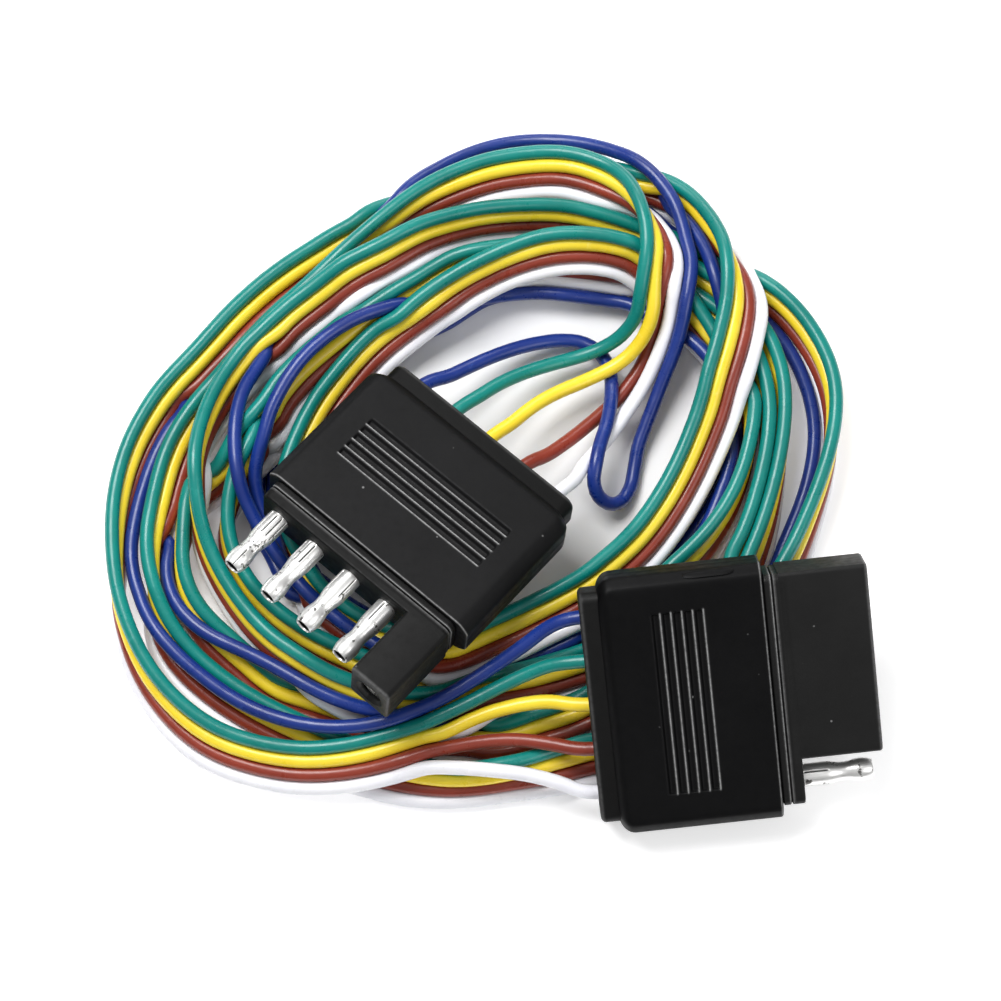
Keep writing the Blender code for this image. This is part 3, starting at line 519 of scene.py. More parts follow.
        # the bonded ribbon keeps its flat at the traced lean
        if settle or it % 2 == 0:
            cols = [P[start[k]:start[k] + count] for k in range(4)]
            mid = (cols[0] + cols[1] + cols[2] + cols[3]) / 4
            tg = np.gradient(mid, axis=0)
            tg[:, 2] = 0
            tg /= np.maximum(1e-6, np.linalg.norm(tg, axis=1))[:, None]
            nin = np.stack([-tg[:, 1], tg[:, 0], 0 * tg[:, 0]], axis=1)
            flat_dir = cosp * nin + sinp * up
            for k in range(4):
                goal = mid + (k - 1.5) * PITCH_R * flat_dir
                cols[k] += (0.16 * taper)[:, None] * (goal - cols[k])
        for _ in range(2):
            dv = P[RB] - P[RA]
            ln = np.maximum(1e-6, np.linalg.norm(dv, axis=1))
            corr = (0.22 * RT * (ln - RL) / ln)[:, None] * dv
            P += scatter(RA, corr) - scatter(RB, corr)
        # no bend tighter than the wire allows
        dv = P[bend_b] - P[bend_a]
        ln = np.linalg.norm(dv, axis=1)
        m = ln < BEND_CHORD
        if m.any():
            corr = (0.12 * (BEND_CHORD - ln[m]) / ln[m])[:, None] * dv[m]
            P += scatter(bend_b[m], corr) - scatter(bend_a[m], corr)
        # contacts
        for _ in range(3):
            a, b = pairs
            dv = P[b] - P[a]
            ln = np.linalg.norm(dv, axis=1)
            flat = np.hypot(dv[:, 0], dv[:, 1])
            swapped = (side != 0) & (flat < 0.8 * DC) & (dv[:, 2] * side > 0)
            m = (ln < DC) | swapped
            if m.any():
                aa, bb = a[m], b[m]
                d_ = dv[m]
                l_ = np.maximum(1e-3, ln[m])
                corr = (0.42 * np.maximum(0, DC - l_) / l_)[:, None] * d_
                w = swapped[m]
                if w.any():
                    # put back over or under, straight up and down
                    gap = np.sqrt(np.maximum(0, DC ** 2 - flat[m][w] ** 2)) + np.abs(d_[w, 2])
                    corr[w] = 0
                    corr[w, 2] = -side[m][w] * 0.42 * gap
                move = scatter(bb, corr) - scatter(aa, corr)
                size = np.linalg.norm(move, axis=1)
                cap = np.minimum(1, 1.0 / np.maximum(1e-9, size))
                P += move * cap[:, None]
            low = P[:, 2] < D / 2
            P[low, 2] = D / 2
        # under the two connectors
        if it > 30:
            for tag, boxes in (("a", BOX_A), ("b", BOX_B)):
                Q, hit = box_push(P, tag, boxes, D / 2 + 0.1)
                hit &= free & (LOOSE > 0)
                P[hit] += 0.5 * (Q[hit] - P[hit])
        P[PIN] = P0[PIN]
        if log and (it % 60 == 0 or it == iters - 1):
            a, b = pairs
            ln = np.linalg.norm(P[b] - P[a], axis=1)
            uu, vv = project(P)
            e = np.hypot(uu - U, vv - V)
            log(it, "min gap %.2f" % ln.min(), "deep %d" % (ln < D - 0.25).sum(), "pairs", len(a),
                "zmax %.1f" % P[:, 2].max(), "off px mean %.1f p90 %.1f max %.1f" % (e.mean(), np.percentile(e, 90), e.max()))
    return {n: P[off[i]:off[i + 1]] for i, n in enumerate(names)}



# ---- camera, light and floor ------------------------------------------------
def make_camera():
    cam = bpy.data.cameras.new("reference_camera")
    cam.sensor_width = 36.0
    cam.lens = 36.0 * CAM_F / 1001.0
    cam.clip_start = 0.01
    ob = bpy.data.objects.new("reference_camera", cam)
    ob.location = Vector(CAM * MM)
    ob.rotation_euler = (math.radians(90) - CAM_ELEV, 0, 0)
    scene.collection.objects.link(ob)
    scene.camera = ob


def area_light(name, place, aim, size, watts, colour=(1, 1, 1)):
    data = bpy.data.lights.new(name, "AREA")
    data.shape = "RECTANGLE"
    data.size, data.size_y = size
    data.energy = watts
    data.color = colour
    ob = bpy.data.objects.new(name, data)
    ob.location = place
    ob.rotation_euler = (Vector(aim) - Vector(place)).to_track_quat("-Z", "Y").to_euler()
    scene.collection.objects.link(ob)


def make_stage():
    world = bpy.data.worlds.new("studio")
    world.use_nodes = True
    nt = world.node_tree
    sky = nt.nodes["Background"]
    # an overhead tent: bright above, dimmer towards the horizon
    way = nt.nodes.new("ShaderNodeTexCoord").outputs["Generated"]
    split = nt.nodes.new("ShaderNodeSeparateXYZ")
    ramp = nt.nodes.new("ShaderNodeMapRange")
    ramp.interpolation_type = "SMOOTHSTEP"
    ramp.inputs["From Min"].default_value = 0.05
    ramp.inputs["From Max"].default_value = 0.85
    ramp.inputs["To Min"].default_value = 0.06
    ramp.inputs["To Max"].default_value = 0.44
    nt.links.new(way, split.inputs[0])
    nt.links.new(split.outputs["Z"], ramp.inputs["Value"])
    nt.links.new(ramp.outputs["Result"], sky.inputs[1])
    sky.inputs[0].default_value = (1, 1, 1, 1)
    scene.world = world
    area_light("key", (-0.24, 0.26, 0.62), (0, 0.02, 0), (0.34, 0.34), 4.8)
    area_light("fill", (0.45, -0.25, 0.50), (0, 0, 0), (0.40, 0.40), 1.3)
    area_light("rim", (0.10, 0.70, 0.35), (0, 0.05, 0), (0.50, 0.16), 1.4)
    scene.view_settings.view_transform = "Standard"
    scene.view_settings.look = "None"
    scene.view_settings.exposure = 0.0
    mesh = bpy.data.meshes.new("floor")
    bm = bmesh.new()
    bmesh.ops.create_grid(bm, x_segments=8, y_segments=8, size=1.6)
    bm.to_mesh(mesh)
    bm.free()
    floor = bpy.data.objects.new("floor", mesh)
    scene.collection.objects.link(floor)
    mat = bpy.data.materials.new("floor_paper")
    mat.use_nodes = True
    nt = mat.node_tree
    bsdf = nt.nodes["Principled BSDF"]
    noise = nt.nodes.new("ShaderNodeTexNoise")
    noise.inputs["Scale"].default_value = 900
    ramp = nt.nodes.new("ShaderNodeMapRange")
    ramp.inputs["To Min"].default_value = 0.82
    ramp.inputs["To Max"].default_value = 0.90
    nt.links.new(noise.outputs["Fac"], ramp.inputs["Value"])
    bsdf.inputs["Base Color"].default_value = (0.93, 0.93, 0.935, 1)
    nt.links.new(ramp.outputs["Result"], bsdf.inputs["Roughness"])
    # painted light: the sheet glows, none within 55 mm of the coil's centre and rising to full past 90 mm, so the
    # floor round the object reads white while inside the coil it stays greyer
    away = nt.nodes.new("ShaderNodeVectorMath")
    away.operation = "DISTANCE"
    away.inputs[1].default_value = (-0.012, 0.030, 0.0)
    nt.links.new(nt.nodes.new("ShaderNodeTexCoord").outputs["Object"], away.inputs[0])
    glow = nt.nodes.new("ShaderNodeMapRange")
    glow.interpolation_type = "SMOOTHSTEP"
    glow.inputs["From Min"].default_value = 0.055
    glow.inputs["From Max"].default_value = 0.090
    glow.inputs["To Min"].default_value = 0.0
    glow.inputs["To Max"].default_value = 0.42
    nt.links.new(away.outputs["Value"], glow.inputs["Value"])
    nt.links.new(glow.outputs["Result"], bsdf.inputs["Emission Strength"])
    bsdf.inputs["Emission Color"].default_value = (1, 1, 1, 1)
    floor.data.materials.append(mat)
    floor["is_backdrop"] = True


make_camera()
make_stage()



# ---- materials --------------------------------------------------------------
def srgb(r, g, b):
    return tuple((c / 255 / 12.92 if c / 255 <= 0.04045 else ((c / 255 + 0.055) / 1.055) ** 2.4)
                 for c in (r, g, b)) + (1,)


def node(nt, kind, **values):
    n = nt.nodes.new(kind)
    for k, v in values.items():
        if k in n.inputs:
            n.inputs[k].default_value = v
        else:
            setattr(n, k, v)
    return n


def new_material(name):
    mat = bpy.data.materials.new(name)
    mat.use_nodes = True
    return mat, mat.node_tree, mat.node_tree.nodes["Principled BSDF"]


def mix_colour(nt, fac, a, b):
    m = nt.nodes.new("ShaderNodeMix")
    m.data_type = "RGBA"
    for sock, val in ((m.inputs[0], fac), (m.inputs[6], a), (m.inputs[7], b)):
        if isinstance(val, bpy.types.NodeSocket):
            nt.links.new(val, sock)
        else:
            sock.default_value = val
    return m.outputs[2]


def ranged(nt, value, lo, hi, out_lo, out_hi):
    r = node(nt, "ShaderNodeMapRange", clamp=True)
    nt.links.new(value, r.inputs["Value"])
    r.inputs["From Min"].default_value = lo
    r.inputs["From Max"].default_value = hi
    r.inputs["To Min"].default_value = out_lo
    r.inputs["To Max"].default_value = out_hi
    return r.outputs["Result"]


def noise(nt, vec, scale, detail=3.0, rough=0.55):
    n = node(nt, "ShaderNodeTexNoise")
    n.inputs["Scale"].default_value = scale
    n.inputs["Detail"].default_value = detail
    n.inputs["Roughness"].default_value = rough
    nt.links.new(vec, n.inputs["Vector"])
    return n.outputs["Fac"]


def add_bump(nt, bsdf, layers):
    """layers: (height socket, strength, distance in metres), stacked."""
    last = None
    for height, strength, distance in layers:
        b = node(nt, "ShaderNodeBump")
        b.inputs["Strength"].default_value = strength
        b.inputs["Distance"].default_value = distance
        nt.links.new(height, b.inputs["Height"])
        if last is not None:
            nt.links.new(last, b.inputs["Normal"])
        last = b.outputs["Normal"]
    nt.links.new(last, bsdf.inputs["Normal"])


def pvc(name, colour, deep, scuff):
    """Extruded PVC insulation: satin, slightly uneven, faint dust and rub marks."""
    mat, nt, bsdf = new_material(name)
    vec = node(nt, "ShaderNodeTexCoord").outputs["Object"]
    tone = noise(nt, vec, 70, 3)
    col = mix_colour(nt, ranged(nt, tone, 0.35, 0.68, 0, 1), colour, deep)
    painted_light_shade_and_wear = noise(nt, vec, 420, 5, 0.7)
    mask = ranged(nt, painted_light_shade_and_wear, 0.60, 0.74, 0, 0.5)
    col = mix_colour(nt, mask, col, scuff)
    nt.links.new(col, bsdf.inputs["Base Color"])
    ro = ranged(nt, noise(nt, vec, 260, 4, 0.6), 0.3, 0.7, 0.24, 0.38)
    nt.links.new(ro, bsdf.inputs["Roughness"])
    bsdf.inputs["Specular IOR Level"].default_value = 0.5
    bsdf.inputs["Subsurface Weight"].default_value = 0.0
    add_bump(nt, bsdf, [(noise(nt, vec, 240, 3), 0.22, 0.0004), (painted_light_shade_and_wear, 0.12, 0.00012)])
    return mat


def moulded(name, lo, hi, edge, edge_amount=1.0, rough=(0.40, 0.56), gloss=0.14):
    """Black moulded PVC: fine spark grain, dust specks, paler edges from a painted highlight mottled like wear, and
    painted shade on the lip and front block.
    """
    mat, nt, bsdf = new_material(name)
    vec = node(nt, "ShaderNodeTexCoord").outputs["Object"]
    cloud = noise(nt, vec, 45, 4, 0.6)
    col = mix_colour(nt, ranged(nt, cloud, 0.3, 0.7, 0, 1), lo, hi)
    # dust specks
    vor = node(nt, "ShaderNodeTexVoronoi")
    vor.inputs["Scale"].default_value = 330
    nt.links.new(vec, vor.inputs["Vector"])
    near = ranged(nt, vor.outputs["Distance"], 0.05, 0.11, 1, 0)
    few = ranged(nt, noise(nt, vec, 120, 2), 0.62, 0.66, 0, 1)
    speck = node(nt, "ShaderNodeMath", operation="MULTIPLY")
    nt.links.new(near, speck.inputs[0])
    nt.links.new(few, speck.inputs[1])
    col = mix_colour(nt, speck.outputs[0], col, (0.20, 0.20, 0.20, 1))
    # painted shade: the hidden front block and the lip are painted blacker
    att = node(nt, "ShaderNodeAttribute")
    att.attribute_name = "deep"
    col = mix_colour(nt, att.outputs["Fac"], col, (0.0009, 0.0009, 0.0009, 1))
    # painted highlight: edges, groove crests and seams are made paler in the colour and mottled by noise like edge
    # wear; stored on the mesh
    att = node(nt, "ShaderNodeAttribute")
    att.attribute_name = "painted_light_shade_and_wear"
    edge_highlight_and_wear = node(nt, "ShaderNodeMath", operation="MULTIPLY")
    nt.links.new(att.outputs["Fac"], edge_highlight_and_wear.inputs[0])
    nt.links.new(ranged(nt, noise(nt, vec, 900, 3, 0.7), 0.30, 0.60, 0.55 * edge_amount, edge_amount), edge_highlight_and_wear.inputs[1])
    col = mix_colour(nt, edge_highlight_and_wear.outputs[0], col, edge)
    nt.links.new(col, bsdf.inputs["Base Color"])
    grain = noise(nt, vec, 2600, 2, 0.6)
    ro = ranged(nt, noise(nt, vec, 600, 3), 0.3, 0.7, rough[0], rough[1])
    nt.links.new(ro, bsdf.inputs["Roughness"])
    bsdf.inputs["Specular IOR Level"].default_value = gloss
    add_bump(nt, bsdf, [(grain, 0.30, 0.00006), (noise(nt, vec, 140, 3), 0.12, 0.0004)])
    return mat


def plated(name, colour=(0.96, 0.955, 0.94, 1), dull=(0.05, 0.045, 0.04, 1)):
    """Bright nickel over rolled brass: drawn lines, a little tarnish."""
    mat, nt, bsdf = new_material(name)
    vec = node(nt, "ShaderNodeTexCoord").outputs["Object"]
    stain = noise(nt, vec, 420, 5, 0.65)
    col = mix_colour(nt, ranged(nt, stain, 0.60, 0.645, 0, 0.92), colour, dull)
    # painted shade: slots, seam and bore are painted near black, stored on the mesh
    att = node(nt, "ShaderNodeAttribute")
    att.attribute_name = "painted_light_shade_and_wear"
    col = mix_colour(nt, att.outputs["Fac"], col, (0.006, 0.006, 0.006, 1))
    nt.links.new(col, bsdf.inputs["Base Color"])
    bsdf.inputs["Metallic"].default_value = 0.82
    ro = ranged(nt, noise(nt, vec, 1300, 4, 0.7), 0.3, 0.7, 0.28, 0.44)
    nt.links.new(ro, bsdf.inputs["Roughness"])
    add_bump(nt, bsdf, [(noise(nt, vec, 700, 3), 0.16, 0.00012), (noise(nt, vec, 2400, 2), 0.10, 0.00003)])
    return mat


def copper(name):
    mat, nt, bsdf = new_material(name)
    vec = node(nt, "ShaderNodeTexCoord").outputs["Object"]
    wave = node(nt, "ShaderNodeTexWave")
    wave.inputs["Scale"].default_value = 900
    wave.inputs["Distortion"].default_value = 1.5
    nt.links.new(vec, wave.inputs["Vector"])
    col = mix_colour(nt, wave.outputs["Fac"], (0.60, 0.24, 0.11, 1), (0.83, 0.42, 0.22, 1))
    nt.links.new(col, bsdf.inputs["Base Color"])
    bsdf.inputs["Metallic"].default_value = 1.0
    ro = ranged(nt, noise(nt, vec, 900, 3), 0.3, 0.7, 0.25, 0.4)
    nt.links.new(ro, bsdf.inputs["Roughness"])
    add_bump(nt, bsdf, [(wave.outputs["Fac"], 0.4, 0.0001)])
    return mat


MAT = {
    "blue": pvc("pvc_blue", srgb(25, 53, 134), srgb(18, 42, 116), srgb(62, 92, 164)),
    "green": pvc("pvc_green", srgb(10, 134, 125), srgb(6, 118, 110), srgb(54, 158, 146)),
    "yellow": pvc("pvc_yellow", srgb(250, 224, 60), srgb(242, 208, 42), srgb(250, 236, 136)),
    "brown": pvc("pvc_brown", srgb(146, 58, 42), srgb(122, 45, 32), srgb(168, 96, 76)),
    "white": pvc("pvc_white", srgb(246, 246, 250), srgb(236, 236, 243), srgb(225, 222, 218)),
    # painted light and shade: the same black moulding is painted darker on B's overmould and paler on B's carrier
    # than on A's, for how light falls on each
    "grip_a": moulded("black_overmould_a", srgb(11, 11, 12), srgb(18, 18, 19), srgb(170, 170, 170), 1.0, (0.42, 0.58), 0.13),
    "grip_b": moulded("black_overmould_b", srgb(6, 6, 7), srgb(12, 12, 13), srgb(165, 165, 165), 1.0, (0.38, 0.52), 0.11),
    "carrier_a": moulded("black_carrier_a", srgb(11, 11, 11), srgb(18, 18, 18), srgb(160, 160, 160), 1.0, (0.42, 0.58), 0.15),
    "carrier_b": moulded("black_carrier_b", srgb(15, 15, 15), srgb(24, 24, 24), srgb(160, 160, 160), 1.0, (0.42, 0.58), 0.22),
    "metal": plated("nickel_plate"),
    "copper": copper("copper_strand"),
}



# ---- moulded connectors -----------------------------------------------------
def place(ob, tag):
    origin, rot = (A_ORIGIN, A_ROT) if tag == "a" else (B_ORIGIN, B_ROT)
    m = Matrix([list(rot[i] * MM) + [origin[i] * MM] for i in range(3)] + [[0, 0, 0, 1]])
    ob.data.transform(m)
    return ob


def to_object(name, bm, mat, tag, sharp=32):
    bmesh.ops.recalc_face_normals(bm, faces=bm.faces)
    mesh = bpy.data.meshes.new(name)
    bm.to_mesh(mesh)
    bm.free()
    mesh.shade_smooth()
    mesh.set_sharp_from_angle(angle=math.radians(sharp))
    ob = bpy.data.objects.new(name, mesh)
    scene.collection.objects.link(ob)
    mesh.materials.append(mat)
    if tag:
        place(ob, tag)
    return ob


def add_loft(bm, xs, section, painted_light_shade_and_wear=None, deep=None):
    """Skins closed sections (y, z) at stations xs, with both ends capped.
    rub(x, y, z) is how far the surface is painted paler there (painted highlight), deep(x, y, z)
    how far it is painted blacker (painted shade)."""
    layer = bm.verts.layers.float.get("painted_light_shade_and_wear") or bm.verts.layers.float.new("painted_light_shade_and_wear")
    dark = bm.verts.layers.float.get("deep") or bm.verts.layers.float.new("deep")
    rings = []
    for x in xs:
        ring = []
        for y, z in section(x):
            v = bm.verts.new((x, y, z))
            v[layer] = painted_light_shade_and_wear(x, y, z) if painted_light_shade_and_wear else 0.0
            v[dark] = deep(x, y, z) if deep else 0.0
            ring.append(v)
        rings.append(ring)
    n = len(rings[0])
    for r0, r1 in zip(rings, rings[1:]):
        for i in range(n):
            bm.faces.new((r0[i], r0[(i + 1) % n], r1[(i + 1) % n], r1[i]))
    for ring in (rings[0], rings[-1]):
        y = sum(v.co.y for v in ring) / n
        z = sum(v.co.z for v in ring) / n
        c = bm.verts.new((ring[0].co.x, y, z))
        c[dark] = ring[0][dark]
        for i in range(n):
            bm.faces.new((ring[i], ring[(i + 1) % n], c))


def spread(*parts):
    """Stations from (start, end, count) runs, without repeats."""
    out = []
    for a, b, n in parts:
        for i in range(n + 1):
            t = a + (b - a) * i / n
            if not out or t - out[-1] > 1e-4:
                out.append(t)
    return out


def soft_step(t):
    t = min(1.0, max(0.0, t))
    return t * t * (3 - 2 * t)


GROOVE_0, GROOVE_P, GROOVE_N, LAND = 11.2, 2.36, 5, 0.45
GROOVE_HALF, GROOVE_DEEP = 20.2, 0.70


def groove(x, y):
    """Depth of the thumb grooves at a point of the grip's flat, and the painted highlight on its crests."""
    if abs(y) > GROOVE_HALF + 0.6 or not GROOVE_0 - 0.4 < x < GROOVE_0 + GROOVE_N * GROOVE_P + 0.4:
        return 0.0, 0.0
    ends = soft_step((GROOVE_HALF + 0.25 - abs(y)) / 0.5)
    k = int((x - GROOVE_0) // GROOVE_P)
    u = x - GROOVE_0 - k * GROOVE_P
    deep = 0.0
    if 0 <= k < GROOVE_N:
        w = GROOVE_P - LAND
        deep = soft_step(u / 0.75) * soft_step((w - u) / 0.16)
    crest = 0.0
    for j in range(GROOVE_N):
        c = GROOVE_0 + (j + 1) * GROOVE_P - LAND + 0.10
        crest = max(crest, math.exp(-((x - c) / 0.17) ** 2))
    inside = 1.0 if abs(y) < GROOVE_HALF else math.exp(-((abs(y) - GROOVE_HALF) / 0.25) ** 2)
    return GROOVE_DEEP * deep * ends - 0.06 * crest * inside, crest * inside


def make_grip(tag):
    ys = spread((-26.6, -24.0, 4), (-24.0, -20.9, 4), (-20.9, -19.6, 9), (-19.6, 19.6, 22),
                (19.6, 20.9, 9), (20.9, 24.0, 4), (24.0, 26.6, 4))
    edge = [2.2, 1.9, 1.6, 1.25, 0.9, 0.6, 0.35, 0.15, 0.0]

    def widths(x):
        w, h = 28.8, 6.45
        if x < 3.6:
            w = 28.8 - 3.6 + math.sqrt(max(0, 3.6 ** 2 - (3.6 - x) ** 2))
        if x < 2.4:
            h = 6.45 - 1.75 * (1 - x / 2.4) ** 1.8
        if x > 35.4:
            d = 0.6 - math.sqrt(max(0, 0.36 - (x - 35.4) ** 2))
            w, h = w - d, h - d
        return w, h

    def section(x):
        w, h = widths(x)
        shift = w - 28.8
        pts = []
        flat = []
        for y in ys:
            # the flat keeps its grid; only its rim moves in with the plan corners
            s = abs(y) / 26.6
            yy = y + shift * s ** 8 * (1 if y > 0 else -1)
            t = 2.2 - (w - abs(yy))
            drop = 0.5 * (t + math.sqrt(t * t + 0.30)) * 0.955 - 0.02
            flat.append((yy, h - max(0.0, drop) - groove(x, y)[0]))
        right = []
        for e in edge[1:]:
            t = 2.2 - e
            drop = 0.5 * (t + math.sqrt(t * t + 0.30)) * 0.955 - 0.02
            round_ = 0.22 * math.exp(-e / 0.35)
            right.append((w - e - round_ * 0.5, h - drop - round_ * 0.6))
        wall = [(w, (h - 2.5) * f) for f in (0.93, 0.6, 0.12)] + [(w + 0.07, 0.0)]
        wall_low = [(w, -z) for _, z in wall[2::-1]]
        top = flat + right + wall
        low = wall_low + [(y, -z) for y, z in right[::-1]] + [(y, -z) for y, z in flat[::-1]]
        left_low = [(-y, -z) for y, z in right] + [(-w, -z) for _, z in wall[:3]]
        left_up = [(-w - 0.07, 0.0)] + [(-w, z) for _, z in wall[2::-1]] + [(-y, z) for y, z in right[::-1]]
        pts = top + low + left_low + left_up
        return pts

    # painted highlight: the groove crests and a thin line along the front edge are painted pale, more on the top and
    # bottom faces than on the flanks
    def painted_light_shade_and_wear(x, y, z):
        r = 0.0
        if abs(z) > 5.2 and abs(y) < 21:
            r = groove(x, y)[1] * 0.85
        if x > 35.3:
            r = max(r, 0.60 * math.exp(-((x - 35.62) / 0.13) ** 2) * (1 if abs(z) > 3 else 0.3))
        return r

    xs = spread((0.0, 0.6, 5), (0.6, 3.6, 10), (3.6, 10.8, 8))
    for j in range(GROOVE_N):
        a = GROOVE_0 + j * GROOVE_P
        xs += [a - 0.02, a + 0.2, a + 0.42, a + 0.62, a + 0.85, a + 1.3, a + 1.66, a + 1.76, a + 1.82,
               a + 1.88, a + 1.96, a + 2.06, a + 2.18, a + 2.28]
    xs += spread((23.1, 24.0, 3), (24.8, 35.2, 11), (35.4, 36.0, 7))
    xs = sorted(set(round(x, 4) for x in xs))
    bm = bmesh.new()
    add_loft(bm, xs, section, painted_light_shade_and_wear)
    ob = to_object("grip_%s_detail" % tag, bm, MAT["grip_" + tag], tag, 40)
    return ob


def rounded(w0, w1, h, r, n=5):
    """Rounded rectangle from w0 to w1 across and +-h high."""
    pts = []
    for cy, cz, a0 in ((w1 - r, h - r, 90), (w1 - r, -h + r, 0), (w0 + r, -h + r, -90), (w0 + r, h - r, 180)):
        for i in range(n + 1):
            a = math.radians(a0 - 90 * i / n)
            pts.append((cy + r * math.cos(a), cz + r * math.sin(a)))
    return pts


def make_carrier(tag, side, shell):
    bm = bmesh.new()
    # rear lip, all edges rounded

    def lip(x):
        d = 0.0
        if x < -2.8:
            d = 1.2 - math.sqrt(max(0, 1.44 - (-2.8 - x) ** 2))
        return rounded(-26 + d, 26 - d, 4.8 - d * 0.7, 2.2)

    # painted highlight along the lip's rear top edge, and painted shade over the whole lip
    add_loft(bm, spread((-4.0, -3.7, 4), (-3.7, -2.8, 6), (-2.8, 0.6, 4)), lip,
             lambda x, y, z: 0.16 * math.exp(-((x + 3.5) / 0.35) ** 2) * (1 if z > 3 else 0.3),
             lambda x, y, z: 0.9)

    # front block with a fine parting groove round it
    def block(x):
        d = 0.0
        d += 0.42 * math.exp(-((x - 38.0) / 0.16) ** 2)
        if x > 40.5:
            d += 0.5 - math.sqrt(max(0, 0.25 - (x - 40.5) ** 2))
        if x < 36.35:
            d += 0.25 * (36.35 - x) / 0.15
        return [(y, z) for y, z in rounded(-26 + d, 26 - d, 6.1 - d, 1.7)]

    # painted highlight along the two parting lines, stronger on top; painted shade over the block, heavier on A
    add_loft(bm, spread((35.6, 36.2, 2), (36.2, 36.4, 3), (36.4, 37.5, 4), (37.5, 38.5, 14), (38.5, 40.5, 5), (40.5, 41.0, 6)),
             block, lambda x, y, z: (0.75 * math.exp(-((x - 37.66) / 0.12) ** 2)
                                     + 0.35 * math.exp(-((x - 38.38) / 0.14) ** 2)) * (1 if z > 2 else 0.25),
             lambda x, y, z: 0.85 if tag == "a" else 0.35)

    # the prong over one way, or the shell over four
    if shell:
        y0, y1 = -15.8, 26.3
    else:
        y0, y1 = 15.7, 26.3

    def nose(x):
        d = 0.0
        if x > 58.0:
            d = 0.8 - math.sqrt(max(0, 0.64 - (x - 58.0) ** 2))
        return rounded(y0 + d * 0.6, y1 - d * 0.6, 6.1 - d, 1.0)

    # painted highlight round the front rim of the prong or shell, stronger on top
    add_loft(bm, spread((39.4, 41.4, 2), (41.4, 57.6, 6), (57.6, 58.0, 2), (58.0, 58.8, 8)), nose,
             lambda x, y, z: 0.30 * math.exp(-((x - 58.5) / 0.3) ** 2) * (1 if z > 3 else 0.4))
    ob = to_object("carrier_%s_detail" % tag, bm, MAT["carrier_" + tag], None, 40)

    # mouths of the ways
    for i in range(5):
        if (i == 4) == shell:
            continue
        y = side * (i - 2) * 10.5
        cutter = bmesh.new()
        seg = 40
        rings = []
        for x, r in ((46.0, 3.3), (57.4, 3.3), (57.5, 2.95), (58.0, 2.95), (59.0, 3.95), (60.0, 3.95)):
            rings.append([cutter.verts.new((x, y + r * math.cos(2 * math.pi * j / seg), r * math.sin(2 * math.pi * j / seg)))
                          for j in range(seg)])
        for r0, r1 in zip(rings, rings[1:]):
            for j in range(seg):
                cutter.faces.new((r0[j], r0[(j + 1) % seg], r1[(j + 1) % seg], r1[j]))
        cutter.faces.new(rings[0])
        cutter.faces.new(rings[-1][::-1])
        bmesh.ops.recalc_face_normals(cutter, faces=cutter.faces)
        mesh = bpy.data.meshes.new("mouth_cutter")
        cutter.to_mesh(mesh)
        cutter.free()
        tool = bpy.data.objects.new("mouth_cutter", mesh)
        scene.collection.objects.link(tool)
        mod = ob.modifiers.new("mouth", "BOOLEAN")
        mod.operation = "DIFFERENCE"
        mod.solver = "EXACT"
        mod.use_self = True
        mod.object = tool
        apply_modifiers(ob)
        bpy.data.objects.remove(tool)
    ob.data.shade_smooth()
    ob.data.set_sharp_from_angle(angle=math.radians(38))
    place(ob, tag)
    return ob


def apply_modifiers(ob):
    bpy.context.view_layer.update()
    dg = bpy.context.evaluated_depsgraph_get()
    new = bpy.data.meshes.new_from_object(ob.evaluated_get(dg), preserve_all_data_layers=True, depsgraph=dg)
    old = ob.data
    ob.modifiers.clear()
    ob.data = new
    bpy.data.meshes.remove(old)


PIN = [(40.6, 2.52), (41.3, 2.55), (42.0, 2.55), (44.5, 2.57), (46.2, 2.57), (47.0, 2.52), (47.8, 2.38), (48.8, 2.18),
       (49.8, 2.06), (50.8, 2.06), (51.6, 2.18), (52.4, 2.38), (53.2, 2.52), (54.2, 2.56), (55.0, 2.48), (55.7, 2.32),
       (56.2, 2.14), (56.5, 2.02), (56.56, 1.92), (56.5, 1.82), (56.2, 1.76), (54.0, 1.70), (43.0, 1.70)]


